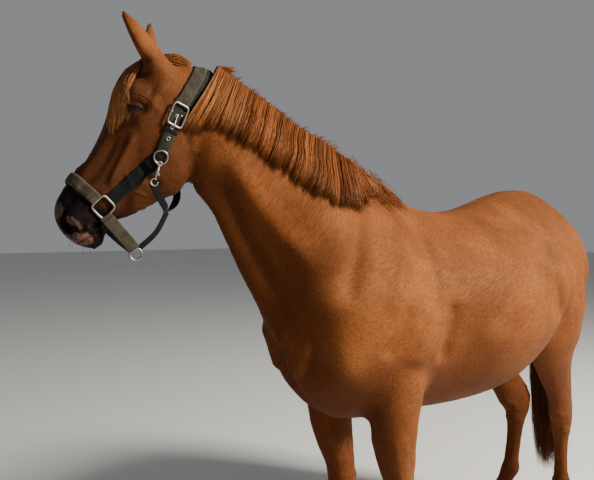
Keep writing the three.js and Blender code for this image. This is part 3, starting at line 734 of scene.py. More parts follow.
HIND_RELIEF = (
    Ridge(((400, 900), (490, 780), (560, 690)), 22, 5),
    Ridge(((560, 900), (610, 790), (680, 690)), 12, -6),  # in front of the big tendon
    Ridge(((650, 820), (700, 720), (770, 640)), 9, 3),
    Ridge(((600, 690), (680, 660), (740, 640)), 13, -4),
    Ridge(((632, 570), (670, 560), (706, 548)), 14, 4),  # hock
    Ridge(((660, 520), (700, 512), (740, 506)), 6, -2.5),
    Ridge(((664, 484), (700, 478), (740, 474)), 10, 3),
    Ridge(((790, 640), (800, 590), (794, 550)), 10, 4),
    Ridge(((732, 450), (734, 350), (734, 260)), 5.5, -4.5),
    Ridge(((750, 440), (753, 350), (754, 262)), 3.5, -2),
    Ridge(((706, 240), (740, 228), (768, 222)), 12, 3),
    Ridge(((704, 200), (690, 170), (672, 138)), 7, -3),
)
RELIEF = {  # each zone's ridges, and how strongly they show
    Zone.BODY: (BODY_RELIEF, 2.4),
    Zone.HEAD: (HEAD_RELIEF, 1.1),
    Zone.FORE: (FORE_RELIEF, 1.15),
    Zone.HIND: (HIND_RELIEF, 1.15),
}


# ---------------------------------------------------------------- the coat's colours
@dataclass(frozen=True)
class Tones:
    """The coat's colours, in linear red, green and blue."""

    coat: Tone = (0.195, 0.063, 0.0185)
    deep: Tone = (0.058, 0.0155, 0.0055)
    light: Tone = (0.29, 0.108, 0.034)
    # belly: painted shade, laid on every surface that faces down
    belly: Tone = (0.110, 0.034, 0.011)
    # face: painted shade, the coat as it looks in shade on the head
    face: Tone = (0.047, 0.0162, 0.0073)
    mane: Tone = (0.212, 0.062, 0.0165)
    # the layer beneath the mane, painted darker as shade
    mane_under: Tone = (0.085, 0.021, 0.006)
    flaxen: Tone = (0.42, 0.2, 0.075)
    tail: Tone = (0.065, 0.018, 0.006)
    tail_end: Tone = (0.22, 0.085, 0.03)
    ear_inside: Tone = (0.150, 0.066, 0.034)
    horn: Tone = (0.070, 0.052, 0.042)
    horn_dark: Tone = (0.030, 0.024, 0.022)
    horn_pale: Tone = (0.160, 0.120, 0.090)
    muzzle: Tone = (0.0020, 0.0019, 0.0038)
    pale: Tone = (0.110, 0.074, 0.056)
    lip: Tone = (0.150, 0.068, 0.052)
    nostril: Tone = (0.004, 0.002, 0.002)
    horn_skin: Tone = (0.060, 0.040, 0.030)


TONES = Tones()


def wave_noise(points: Array, scale: float, seed: int) -> Array:
    """Smooth noise between -1 and 1: the mean of sines along a dozen random directions, `scale` long."""
    draw = np.random.default_rng(seed)
    total = np.zeros(points.shape[:-1])
    for _ in range(12):
        direction = unit(draw.normal(size=points.shape[-1])) * FULL_TURN / (scale * draw.uniform(0.6, 1.8))
        total = total + np.sin(points @ direction + draw.uniform(0, FULL_TURN))
    return np.clip(total / 4.5, -1, 1)


def mixed(base: Array, tone: Sequence[float], share: Array) -> Array:
    """Colours moved towards a tone by a share."""
    return base + (np.asarray(tone) - base) * np.clip(share, 0, 1)[..., None]


def painted(base: Array, *washes: tuple[Sequence[float], Array]) -> Array:
    """Colours with washes laid over them in order, each a tone and its share."""
    for tone, share in washes:
        base = mixed(base, tone, share)
    return base


def repeated(tone: Sequence[float], count: int) -> Array:
    """One colour or direction at so many points."""
    return np.tile(np.array(tone), (count, 1))


def shaded(tone: Sequence[float], share: Array) -> Array:
    """A tone made lighter or darker by a share for each point."""
    return np.asarray(tone) * share[..., None]


# ---------------------------------------------------------------- the skin
def neighbours(shell: Shell) -> tuple[Array, Array]:
    """The two ends of each edge of a mesh, each edge once."""
    sides = [shell.quads[:, [k, (k + 1) % 4]] for k in range(4)]
    sides += [shell.triangles[:, [k, (k + 1) % 3]] for k in range(3)]
    edges = np.unique(np.sort(np.vstack(sides), axis=1), axis=0)
    return edges[:, 0], edges[:, 1]


def relaxed(shell: Shell, rounds: int, share: Array, pull: Sequence[float] = (0.5,)) -> Shell:
    """A mesh with its points drawn towards the mean of their neighbours.

    Args:
        shell: the mesh.
        rounds: how many times.
        share: how strongly at each point, 0 to 1.
        pull: the steps of a round; a negative one after a positive one keeps the size.

    Returns:
        The smoother mesh.
    """
    a, b = neighbours(shell)
    count = len(shell.points)
    degree = np.bincount(a, minlength=count) + np.bincount(b, minlength=count)
    points = shell.points.copy()
    for _ in range(rounds):
        for factor in pull:
            for axis in range(3):
                column = points[:, axis]
                total = np.bincount(a, column[b], count) + np.bincount(b, column[a], count)
                points[:, axis] = column + factor * share * (total / degree - column)
    return shell.over(points)


def evened(shell: Shell, rounds: int) -> Shell:
    """A mesh smoothed all over without shrinking, by a pull and a slightly longer push in each round."""
    return relaxed(shell, rounds, np.ones(len(shell.points)), (0.5, -0.53))


def refined(shell: Shell, inside: Array) -> Shell:
    """A mesh with the edges between marked points halved, and its faces divided to fit."""
    mesh = shell.mesh("refining", 1.0, 0.0)
    work = bmesh.new()
    work.from_mesh(mesh)
    marked = [edge for edge in work.edges if inside[edge.verts[0].index] and inside[edge.verts[1].index]]
    bmesh.ops.subdivide_edges(work, edges=marked, cuts=1, use_grid_fill=True)
    bmesh.ops.triangulate(work, faces=[face for face in work.faces if len(face.verts) > 4])
    work.to_mesh(mesh)
    work.free()
    out = Shell.read(mesh, 1.0, 0.0)
    bpy.data.meshes.remove(mesh)
    return out


def united(shell: Shell, voxel: float) -> Shell:
    """Overlapping closed bodies as one closed surface of even squares, `voxel` across."""
    mesh = shell.mesh("uniting")
    thing = bpy.data.objects.new("uniting", mesh)
    bpy.context.scene.collection.objects.link(thing)
    remesh = thing.modifiers.new("unite", "REMESH")
    remesh.mode = "VOXEL"
    remesh.voxel_size = voxel * MM
    remesh.adaptivity = 0.0
    whole = thing.evaluated_get(bpy.context.evaluated_depsgraph_get())
    out = Shell.read(whole.to_mesh())
    whole.to_mesh_clear()
    bpy.data.objects.remove(thing)
    bpy.data.meshes.remove(mesh)
    return out


@dataclass(frozen=True)
class EyePlace:
    """Where an eye sits on the head, and the almond that its lids leave open."""

    out: float = 66.0
    down: float = 242.0
    above: float = -26.0
    radius: float = 21.0
    socket: tuple[float, float] = (40.0, 33.0)  # half-lengths of the patch of skin that the lids are part of
    tilt: float = math.radians(72)

    def plane(self, points: Array) -> Array:
        """Points in head coordinates as shares of the socket, along the lids and square to them."""
        along = points[..., 1] - self.down
        up = points[..., 2] - self.above
        a = along * math.cos(self.tilt) + up * math.sin(self.tilt)
        b = -along * math.sin(self.tilt) + up * math.cos(self.tilt)
        return np.stack([a / self.socket[0], b / self.socket[1]], -1)


EYE = EyePlace()


@dataclass
class Skin:
    """One closed skin over trunk, neck, head, legs and dock, with the relief of muscle and bone."""

    voxel: float = 14.4
    crease: float = 34.0
    spine_grid: tuple[int, int] = (200, 160)  # rings and points round each ring
    other_grid: tuple[int, int] = (120, 96)
    # each refinement takes the head nearer to its loft than a, further down the face than b, and all below c
    refinements: tuple[tuple[float, float, float], ...] = ((6, 20, 600), (5, 170, 0))
    mouth_parts: float = 500.0  # how far down the face the nostrils and the mouth start
    shell: Shell = field(init=False)
    bare: Shell = field(init=False)
    weights: dict[Zone, Array] = field(init=False)

    def lofts(self) -> dict[str, Loft]:
        """The bodies that the skin is drawn over."""
        legs = {limb.node: leg_loft(limb) for limb in Limb}
        return {"spine": SPINE, "head": HEAD, "dock": DOCK} | legs

    def build(self) -> None:
        """Unites the bodies, smooths where they join, refines the head and the legs, and adds the relief."""
        grids = {}
        for name, loft in self.lofts().items():
            grid = self.spine_grid if name == "spine" else self.other_grid
            grids[name] = loft.grid(*grid, -COAT_DEPTH).outwards()
        for name, ear in EARS.items():
            grids[f"ear_{name}"] = ear.root()
        shell = united(Shell.joined(grids.values()), self.voxel)
        trees = {name: grid.tree() for name, grid in grids.items()}
        LOG.info("skin united: %d points", len(shell.points))
        shell = self.eased(shell, self.distances(shell.points, trees))
        for reach, down, height in self.refinements:
            near = self.distances(shell.points, trees)["head"] < reach
            face = NECK.off_head(shell.points)[:, 1] > down
            shell = evened(refined(shell, (near & face) | (shell.points[:, 2] < height)), 3)
        head = NECK.off_head(shell.points)
        fine = (stroke_distance(head[:, 1:], NOSTRIL)[0] < 20) | (stroke_distance(head[:, 1:], MOUTH)[0] < 11)
        self.shell = evened(refined(shell, fine & (head[:, 1] > self.mouth_parts)), 2)
        self.weigh(self.distances(self.shell.points, trees))
        LOG.info("skin refined: %d points, %d quads", len(self.shell.points), len(self.shell.quads))
        self.raise_relief()

    def distances(self, points: Array, trees: dict[str, BVHTree]) -> dict[str, Array]:
        """How far each point lies from each of the bodies, up to twice the width of a crease."""
        out = {}
        for name, tree in trees.items():
            reach = 2 * self.crease
            found = [tree.find_nearest(point, reach)[3] for point in points.tolist()]
            out[name] = np.array([reach if value is None else value for value in found])
        return out

    def eased(self, shell: Shell, distances: dict[str, Array]) -> Shell:
        """The mesh with the creases between two bodies turned into hollows.

        A point's share is 1 where its second nearest body is near, and fades out at the crease's width.
        """
        second = np.sort(np.stack(list(distances.values())), axis=0)[1]
        share = 1 - step(second, 4, self.crease)
        return evened(relaxed(shell, 26, share), 4)

    def weigh(self, distances: dict[str, Array]) -> None:
        """Sets how far each point belongs to each zone, from how near the zones' bodies are."""
        points = self.shell.points
        fore = np.minimum(distances["fore_left"], distances["fore_right"])
        hind = np.minimum(distances["hind_left"], distances["hind_right"])
        head = np.clip(0.5 + (distances["spine"] - distances["head"]) / 24, 0, 1)
        near = np.minimum(distances["head"], np.minimum(distances["ear_left"], distances["ear_right"])) < 30
        head = np.where(near, np.where(NECK.off_head(points)[:, 1] > 230, 1.0, head), 0.0)
        low = 1 - step(points[:, 2], 700, 860)
        self.weights = {
            Zone.HEAD: head,
            Zone.FORE: low * (fore < 30) * (points[:, 1] < 0),
            Zone.HIND: low * (hind < 30) * (points[:, 1] > 0),
        }
        self.weights[Zone.BODY] = np.clip(1 - sum(self.weights.values()), 0, 1)

    def zone_points(self, zone: Zone) -> Array:
        """The skin's points in a zone's own coordinates."""
        points = self.shell.points
        if zone is Zone.HEAD:
            return NECK.off_head(points)
        if zone is Zone.BODY:
            return NECK.straighten(points)
        pair = (Limb.FORE_LEFT, Limb.FORE_RIGHT) if zone is Zone.FORE else (Limb.HIND_LEFT, Limb.HIND_RIGHT)
        left, right = (limb.value.square(points) for limb in pair)
        return np.where(points[:, :1] > 0, left, right)

    def raise_relief(self) -> None:
        """Moves the skin in and out along its normals by the relief of each zone."""
        lift = np.zeros(len(self.shell.points))
        for zone, (ridges, strength) in RELIEF.items():
            weight = self.weights[zone]
            chosen = weight > 0.01
            points = self.zone_points(zone)
            normals = self.shell.over(points).normals()
            total = sum(ridge.lift(points[chosen], normals[chosen]) for ridge in ridges)
            lift[chosen] += weight[chosen] * total * strength
        self.shell.points = self.shell.points + self.shell.normals() * lift[:, None]
        self.bare = self.shell.over(self.shell.points.copy())
        self.open_nostrils()
        self.sink_sockets()

    def open_nostrils(self) -> None:
        """Hollows the nostrils out with raised rims round them, and cuts the line of the mouth."""
        head = NECK.off_head(self.shell.points)
        normals = self.shell.over(head).normals()
        muzzle = head[:, 1] > MUZZLE_DOWN
        beside, ahead = np.abs(normals[:, 0]), np.maximum(normals[:, 1], 0)
        sideways = step(beside + 0.5 * ahead, 0.15, 0.5) * muzzle
        distance, along = stroke_distance(head[:, 1:], NOSTRIL)
        width = 3.0 + 6.5 * step(along, 0.1, 0.8)
        hollow = 20 * (1 - step(distance, width * 0.45, width + 3.5))
        rim = 5.0 * bell(distance - width - 6, 4.5) * step(along, 0.0, 0.3)
        inwards = np.sign(head[:, :1]) * np.array([-0.9, 0, 0]) + np.array([0, -0.35, 0.1])
        mouth, share = stroke_distance(head[:, 1:], MOUTH)
        cut = -7 * bell(mouth, 2.6) * step(share, 0, 0.15)
        lips = 2.2 * bell(mouth - 7, 4) * step(share, 0.1, 0.4)
        turned = step(beside + ahead, 0.2, 0.6) * muzzle
        head = head + normals * (sideways * rim + turned * (cut + lips))[:, None]
        head = head + inwards * (hollow * sideways)[:, None]
        changed = (head[:, 1] > MUZZLE_DOWN)[:, None]
        self.shell.points = np.where(changed, NECK.on_head(head), self.shell.points)

    def sink_sockets(self) -> None:
        """Sinks the skin behind the patches that carry the lids."""
        head = NECK.off_head(self.shell.points)
        radius = np.linalg.norm(EYE.plane(head), axis=-1)
        depth = 12 * (1 - step(radius, 0.62, 1.0)) * (np.abs(head[:, 0]) > 30)
        head[:, 0] -= np.sign(head[:, 0]) * depth
        self.shell.points = np.where((depth > 0.01)[:, None], NECK.on_head(head), self.shell.points)


# ---------------------------------------------------------------- shader building
class Term:
    """A shader value that is worked out with Python's operators, each adding its Math node."""

    def __init__(self, nodes: "NodeSet", socket: bpy.types.NodeSocket) -> None:
        """Wraps an output socket of a set of nodes."""
        self.nodes = nodes
        self.socket = socket

    def _with(self, operation: str, *values: object, clamp: bool = False) -> "Term":
        """A Math node on values or links."""
        return self.nodes.add("ShaderNodeMath", {"operation": operation, "use_clamp": clamp}, list(values))

    def __add__(self, other: object) -> "Term":
        """Sum."""
        return self._with("ADD", self, other)

    def __sub__(self, other: object) -> "Term":
        """Difference."""
        return self._with("SUBTRACT", self, other)

    def __rsub__(self, other: object) -> "Term":
        """Difference, the other way round."""
        return self._with("SUBTRACT", other, self)

    def __mul__(self, other: object) -> "Term":
        """Product."""
        return self._with("MULTIPLY", self, other)

    def __truediv__(self, other: object) -> "Term":
        """Quotient."""
        return self._with("DIVIDE", self, other)

    __radd__ = __add__
    __rmul__ = __mul__

    def size(self) -> "Term":
        """The value without its sign."""
        return self._with("ABSOLUTE", self)

    def wave(self, turns: float) -> "Term":
        """The sine of the value times a rate."""
        return self._with("SINE", self._with("MULTIPLY", self, turns))

    def clamped(self) -> "Term":
        """The value held between 0 and 1."""
        return self._with("ADD", self, 0.0, clamp=True)

    def between(self, low: float, high: float) -> "Term":
        """A smooth step of the value from low to high."""
        return self.nodes.add(
            "ShaderNodeMapRange",
            {"interpolation_type": "SMOOTHSTEP"},
            {"Value": self, "From Min": low, "From Max": high},
        )


class NodeSet:
    """The nodes of one material."""

    def __init__(self, name: str) -> None:
        """Starts a material with a Principled shader."""
        self.material = bpy.data.materials.new(name)
        self.material.use_nodes = True
        self.tree = self.material.node_tree
        self.shader = next(node for node in self.tree.nodes if node.type == "BSDF_PRINCIPLED")

    def add(self, kind: str, settings: dict[str, object], inputs: object, output: int | str = 0) -> Term:
        """Adds a node.

        Args:
            kind: the node's type.
            settings: its settings; a ramp's stops are under "stops".
            inputs: values or links of its sockets, as a list in order or by name.
            output: which output to wrap.

        Returns:
            The output.
        """
        node = self.tree.nodes.new(kind)
        for name, value in settings.items():
            if name == "stops":
                ramp = node.color_ramp
                while len(ramp.elements) < len(value):
                    ramp.elements.new(0.5)
                for element, (place, colour) in zip(ramp.elements, value):
                    element.position = place
                    element.color = (*colour, 1.0)
            else:
                setattr(node, name, value)
        pairs = enumerate(inputs) if isinstance(inputs, (list, tuple)) else inputs.items()
        for key, value in pairs:
            self.feed(node.inputs[key], value)
        return Term(self, node.outputs[output])

    def feed(self, socket: bpy.types.NodeSocket, value: object) -> None:
        """Sets a socket to a value, or links it to a term."""
        if isinstance(value, Term):
            self.tree.links.new(value.socket, socket)
        else:
            socket.default_value = value

    def attribute(self, name: str, output: str = "Fac") -> Term:
        """A value kept at the mesh's points."""
        return self.add("ShaderNodeAttribute", {"attribute_name": name}, {}, output)

    def place(self, output: str = "Object") -> Term:
        """Coordinates for patterns."""
        return self.add("ShaderNodeTexCoord", {}, {}, output)

    def mapped(self, vector: Term, scale: Sequence[float], turn: Sequence[float] = (0, 0, 0)) -> Term:
        """Coordinates turned, then scaled."""
        turned = self.add("ShaderNodeMapping", {}, {"Vector": vector, "Rotation": tuple(turn)})
        return self.add("ShaderNodeMapping", {}, {"Vector": turned, "Scale": tuple(scale)})

    def noise(self, vector: Term, scale: float, detail: float = 3.0, roughness: float = 0.55) -> Term:
        """Noise between about 0 and 1."""
        inputs = {"Vector": vector, "Scale": scale, "Detail": detail, "Roughness": roughness}
        return self.add("ShaderNodeTexNoise", {}, inputs)

    def mix(self, share: object, first: object, second: object, blend: str = "MIX") -> Term:
        """Two colours mixed by a share."""
        node = self.tree.nodes.new("ShaderNodeMix")
        node.data_type = "RGBA"
        node.blend_type = blend
        colours = [socket for socket in node.inputs if socket.type == "RGBA"]
        self.feed(node.inputs[0], share)
        for socket, value in zip(colours, (first, second)):
            self.feed(socket, value if isinstance(value, Term) else (*value, 1.0))
        return Term(self, next(socket for socket in node.outputs if socket.type == "RGBA"))

    def varied(
        self, share: object, colour: Term, pattern: Term, dark: float | Tone, light: float | Tone
    ) -> Term:
        """A colour times a pattern that runs from a dark to a light grey or tint, by a share."""
        ends = (end if isinstance(end, tuple) else (end,) * 3 for end in (dark, light))
        return self.mix(share, colour, self.mix(pattern, *ends), "MULTIPLY")

    def bump(self, height: Term, distance: float, strength: float) -> Term:
        """A bump in metres on the surface."""
        return self.add("ShaderNodeBump", {}, {"Height": height, "Distance": distance, "Strength": strength})

    def dress(self, **sockets: object) -> bpy.types.Material:
        """Sets the shader's sockets, named with underscores for spaces, and gives the material."""
        for name, value in sockets.items():
            socket = self.shader.inputs[name.replace("_", " ")]
            if isinstance(value, tuple) and socket.type == "RGBA" and len(value) == 3:
                value = (*value, 1.0)
            self.feed(socket, value)
        return self.material


@dataclass(frozen=True)
class ShortCoat:
    """Short flat hair over the skin: its colour at the points, and fine streaks along the lie of the hair."""

    along: float = 28.8  # streaks to the metre along the hair
    across: float = 330.0
    depth: float = 0.0009
    body_turn: tuple[float, float, float] = (math.radians(-24), 0, 0)  # how the hair slopes
    neck_turn: tuple[float, float, float] = (math.radians(-52), 0, 0)
    face_turn: tuple[float, float, float] = (math.radians(33), 0, math.radians(-13))

    def streaks(self, nodes: NodeSet) -> Term:
        """Noise drawn out along the hair: backwards on the body, down the legs and down the face."""
        place = nodes.place()
        level = (self.across, self.along, self.across)
        down = (self.across, self.across, self.along)
        body = nodes.noise(nodes.mapped(place, level, self.body_turn), 1.0)
        neck = nodes.noise(nodes.mapped(place, level, self.neck_turn), 1.0)
        leg = nodes.noise(nodes.mapped(place, down), 1.0)
        face = nodes.noise(nodes.mapped(place, down, self.face_turn), 1.3)
        lie = nodes.attribute("lie", "Color")
        necks, legs, faces = (
            nodes.add("ShaderNodeSeparateColor", {}, [lie], part) for part in ("Red", "Green", "Blue")
        )
        return body * (1 - necks - legs - faces).clamped() + neck * necks + leg * legs + face * faces

    def material(self) -> bpy.types.Material:
        """The coat's material."""
        nodes = NodeSet("short_coat")
        streaks = self.streaks(nodes)
        place = nodes.place()
        patches = nodes.noise(place, 9.0, 4.0, 0.6)
        coat = nodes.attribute("coat", "Color")
        bare = nodes.attribute("bare")
        shade = nodes.varied((1 - bare) * 0.55, coat, streaks.between(0.25, 0.75), (0.42, 0.36, 0.32), 1.5)
        mottled = nodes.varied(0.5, shade, patches.between(0.3, 0.7), (0.80, 0.76, 0.72), (1.16, 1.16, 1.14))
        pores = nodes.noise(place, 420.0, 2.0)
        height = streaks * (1 - bare) + pores * bare * 0.35
        fine = nodes.bump(height, self.depth, 0.55)
        rough = streaks * -0.22 + 0.72 - bare * 0.08
        return nodes.dress(
            Base_Color=mottled,
            Roughness=rough,
            Normal=fine,
            Specular_IOR_Level=0.06,
            Specular_Tint=(1.0, 0.64, 0.38),
            Sheen_Weight=0.02,
            Sheen_Roughness=0.4,
            Sheen_Tint=(1.0, 0.55, 0.3),
        )


# ---------------------------------------------------------------- putting pieces into the scene
def new_piece(
    name: str,
    shell: Shell,
    material: bpy.types.Material,
    replaces: Sequence[str] = (),
    colours: Optional[dict[str, Array]] = None,
    values: Optional[dict[str, Array]] = None,
    maps: Optional[dict[str, Array]] = None,
) -> bpy.types.Object:
    """Makes a finished piece that rides on the horse.

    Args:
        name: the piece's name.
        shell: its mesh, in millimetres on the posed horse.
        material: its finish.
        replaces: the nodes that it stands for.
        colours: colours at the points, by the attribute's name.
        values: numbers at the points, by the attribute's name.
        maps: a UV place for each point, by the map's name.

    Returns:
        The object.
    """
    mesh = shell.mesh(name)
    for key, colour in (colours or {}).items():
        layer = mesh.color_attributes.new(key, "FLOAT_COLOR", "POINT")
        full = np.concatenate([colour, np.ones((len(colour), 1))], 1) if colour.shape[1] == 3 else colour
        layer.data.foreach_set("color", full.astype(np.float32).ravel())
    for key, value in (values or {}).items():
        mesh.attributes.new(key, "FLOAT", "POINT").data.foreach_set("value", value.astype(np.float32))
    corners = np.zeros(len(mesh.loops), np.int32)
    mesh.loops.foreach_get("vertex_index", corners)
    for key, places in (maps or {}).items():
        mesh.uv_layers.new(name=key).data.foreach_set("uv", places[corners].astype(np.float32).ravel())
    thing = bpy.data.objects.new(name, mesh)
    bpy.context.scene.collection.objects.link(thing)
    mesh.materials.append(material)
    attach(thing, BODY)
    if replaces:
        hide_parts(*replaces)
    LOG.info("%s: %d triangles", name, 2 * len(shell.quads) + len(shell.triangles))
    return thing


MUZZLE_PATCHES = (
    ((20, 580, -20), (26, 24, 20), TONES.pale, 0.62),  # snip over the tip of the nose
    # pale skin at the nostril's rim, with a painted highlight on it
    ((50, 583, -56), (22, 10, 32), TONES.pale, 0.50),  # pale rim behind the nostril
    # pale skin below the nostril, with a painted highlight on it
    ((44, 608, -90), (26, 10, 12), TONES.pale, 0.70),
    ((38, 604, -113), (36, 20, 22), TONES.lip, 0.90),  # pink of the upper lip
    ((8, 618, -92), (26, 18, 30), TONES.lip, 0.55),
)


def coat_colour(skin: Skin) -> tuple[Array, Array]:
    """The coat's colour and how bare the skin is, at each point of the skin.

    Chestnut with soft darker and lighter fields, darker on the croup and the lower legs. Painted shade
    darkens the thighs and hind legs low behind the belly, the breast and the underside of the neck, the inner
    sides of the legs, every surface that faces down with the belly, and the whole face; painted shadow lies
    in the hollow of the temple and at the front of the ear's root, and painted shade along the mouth. The
    muzzle is dark bare skin with a pale snip, pale nostril rims that also carry a painted highlight, and a
    pink upper lip.

    Args:
        skin: the finished skin.

    Returns:
        Colours, and shares of bare skin.
    """
    points = skin.shell.points
    body = NECK.straighten(points)
    head = NECK.off_head(points)
    normals = skin.shell.normals()
    face = skin.weights[Zone.HEAD]
    height = points[:, 2]
    along = body * np.array([1.0, 0.45, 0.8])  # the small fields are drawn out along the body
    # painted shade: the next two masks pick the breast and the underside of the neck by the way they face
    front = step(-normals[:, 1], 0.60, 1.0) * (1 - step(body[:, 1], -560, -420)) * (1 - face)
    under = step(-normals[:, 2], 0.1, 0.8) * (1 - step(body[:, 1], -520, -380)) * (1 - face)
    # painted shade: the next mask picks the inner sides of the legs
    inner = step(-normals[:, 0] * np.sign(points[:, 0]), 0.2, 0.8) * (1 - step(height, 700, 950))
    croup = step(body[:, 2], 1330, 1480) * step(body[:, 1], 120, 360)
    # painted shade: the next mask picks the hindquarters and hind legs low behind the belly
    thigh_shade = step(body[:, 1], 420, 640) * (1 - step(height, 780, 1120))
    colour = painted(
        repeated(TONES.coat, len(points)),
        (TONES.deep, 0.22 + 0.22 * wave_noise(body, 420, 3)),
        (TONES.light, 0.25 * step(wave_noise(body, 300, 5), 0, 1)),
        (TONES.deep, 0.14 * step(wave_noise(along, 70, 13), 0, 1.2)),
        (TONES.light, 0.18 * step(wave_noise(along, 110, 17), 0, 1.2)),
        # painted shade on every surface that faces down, over 600 mm up, the belly among them
        (TONES.belly, 0.75 * step(-normals[:, 2], 0.0, 0.65) * (height > 600)),
        (TONES.deep, 0.42 * croup),
        # painted shade on the breast and the underside of the neck
        (TONES.deep, 0.72 * np.clip(front + under, 0, 1)),
        # painted shade on the inner sides of the legs
        (TONES.deep, 0.5 * inner),
        (TONES.deep, 0.62 * (1 - step(height, 120, 640))),  # the lower legs
        # painted shade on the hindquarters and hind legs low behind the belly
        (TONES.deep, 0.6 * thigh_shade),
        (TONES.horn_skin, 0.5 * (1 - step(height, 84, 100))),  # the coronet
    )
    out, down, above = np.abs(head[:, 0]), head[:, 1], head[:, 2]
    cheek = bell(down - 290, 90) * bell(above + 170, 60)
    # painted shadow in the hollow above the eye, at the temple
    temple_shade = bell(down - 150, 26) * bell(above + 36, 24)
    mirrored = np.stack([out, down, above], -1)
    # painted shadow in the crease in front of the ear's root
    ear_crease_shadow = np.linalg.norm((mirrored - np.array((66, 150, -8))) / np.array((26, 17, 20)), axis=1)
    edge = down + 0.10 * (above + 60) + 9 * wave_noise(head, 34, 8)
    bare = step(edge, 468, 522) * (down > 400) * face
    colour = painted(
        colour,
        # painted shade over the whole face, most from the eyes down
        (TONES.face, face * (0.24 + 0.58 * step(down, 40, 210) + 0.14 * step(down, 300, 480))),
        # less of that painted shade on the cheek
        (TONES.coat, 0.12 * face * cheek),
        # painted shadow in the hollow above the eye
        (TONES.deep, 0.5 * face * temple_shade),
        # painted shadow in the crease in front of the ear's root
        (TONES.muzzle, 0.6 * face * (1 - step(ear_crease_shadow, 0.3, 1.2))),
        (TONES.muzzle, bare * 0.97),
    )
    ragged = 0.22 * wave_noise(head, 14, 4)
    for centre, size, tone, share in MUZZLE_PATCHES:
        reach = np.linalg.norm((head - np.array(centre)) / np.array(size), axis=1) + ragged
        colour = mixed(colour, tone, share * (1 - step(reach, 0.75, 1.1)) * face)
    rim = stroke_distance(head[:, 1:], NOSTRIL)[0]
    mouth = stroke_distance(head[:, 1:], MOUTH)[0]
    nostril = (1 - step(rim, 2, 9)) * (down > 540) * step(out, 10, 20)
    around_eye = face * (1 - step(np.linalg.norm(EYE.plane(head), axis=-1), 0.55, 0.95)) * (out > 30)
    colour = painted(
        colour,
        (TONES.nostril, nostril * face),
        # painted shade in the crease along the mouth
        (TONES.nostril, 0.8 * bell(mouth, 3) * (down > 520) * face),
        (TONES.deep, 0.8 * around_eye),
    )
    return colour, np.clip(bare + around_eye * 0.4, 0, 1)


def hair_lie(skin: Skin) -> Array:
    """How much the hair lies as on the neck (red), the legs (green) and the face (blue), at each point."""
    body = skin.zone_points(Zone.BODY)
    head = skin.weights[Zone.HEAD]
    legs = 1 - step(body[:, 2], 620, 860)
    neck = (1 - step(body[:, 1] + 0.9 * (1400 - body[:, 2]), -760, -560)) * (1 - head) * (1 - legs)
    return np.stack([neck, legs * (1 - head), head, np.ones_like(head)], -1)


# ---------------------------------------------------------------- hair as mesh
BAKE_PATCH = 0.003  # width of a lock's own patch on the unwrapped skin


@dataclass
class Locks:
    """Many hairs or small locks in one mesh, each a closed three-sided tube from its root to its tip."""

    paths: Array
    widths: Array
    out: Array
    colours: Array
    places: Array

    @classmethod
    def laid(
        cls, pose: Place, paths: Array, widths: Array, out: Array, colours: Array, places: Array
    ) -> "Locks":
        """Hairs whose paths and outward directions are given before the pose."""
        posed = pose(paths)
        return cls(posed, widths, pose(paths + out) - posed, colours, places)

    @staticmethod
    def along(knots: Array, rings: int) -> Array:
        """Smooth paths through knots: (n, knots, 3) points become (n, rings, 3)."""
        count, held, _ = knots.shape
        table = knots.transpose(1, 0, 2).reshape(held, -1)
        return catmull_rom(table, np.linspace(0, 1, rings)).reshape(rings, count, 3).transpose(1, 0, 2)

    def shell(self) -> Shell:
        """The tubes: each ring has two low corners p -+ a w / 2 - n w / 8 and a ridge p + 0.35 n w."""
        count, rings = self.paths.shape[:2]
        along = unit(np.gradient(self.paths, axis=1))
        across = unit(np.cross(along, self.out))
        up = np.cross(across, along)
        width = self.widths[..., None]
        low = self.paths - up * width / 8
        ridge = self.paths + up * width * 0.35
        corners = np.stack([low - across * width / 2, ridge, low + across * width / 2], 2)
        index = np.arange(count * rings * 3).reshape(count, rings, 3)
        beside = np.roll(index, -1, axis=2)
        quads = np.stack([index[:, :-1], beside[:, :-1], beside[:, 1:], index[:, 1:]], -1).reshape(-1, 4)
        ends = np.vstack([index[:, 0, ::-1], index[:, -1]])
        return Shell(corners.reshape(-1, 3), quads, ends).outwards()

    def piece(self, name: str, material: bpy.types.Material, slot: str, replaces: Sequence[str] = ()) -> None:
        """Puts the locks into the scene, with a patch of the bake map at each root's place."""
        rings = self.paths.shape[1]
        low, high = self.places.min(0), self.places.max(0)
        places = (self.places - low) / np.maximum(high - low, 1e-6) * (1 - 1.1 * BAKE_PATCH)
        ring, corner = np.meshgrid(np.arange(rings) / (rings - 1), np.arange(3) / 2, indexing="ij")
        patch = np.stack([corner, ring], -1) * BAKE_PATCH
        maps = {"OFBake": (places[:, None, None] + patch).reshape(-1, 2)}
        colours = {"coat": np.repeat(self.colours, 3, axis=1).reshape(-1, 3)}
        new_piece(name, self.shell(), material, replaces, colours, maps=maps)


@dataclass(frozen=True)
class HairGloss:
    """Long hair: the colour at its points, with a soft gloss and fine streaks along it."""

    name: str = "long_hair"
    rough: float = 0.46
    sheen: float = 0.01

    def material(self) -> bpy.types.Material:
        """The hair's material."""
        nodes = NodeSet(self.name)
        place = nodes.place()
        streak = nodes.noise(nodes.mapped(place, (620.0, 620.0, 60.0)), 1.0)
        coat = nodes.attribute("coat", "Color")
        colour = nodes.varied(0.6, coat, streak.between(0.3, 0.7), (0.55, 0.50, 0.46), 1.35)
        return nodes.dress(
            Base_Color=colour,
            Roughness=streak * -0.2 + (self.rough + 0.1),
            Normal=nodes.bump(streak, 0.0006, 0.5),
            Specular_IOR_Level=0.12,
            Specular_Tint=(1.0, 0.70, 0.45),
            Sheen_Weight=self.sheen,
            Sheen_Roughness=0.4,
            Sheen_Tint=(1.0, 0.6, 0.35),
        )


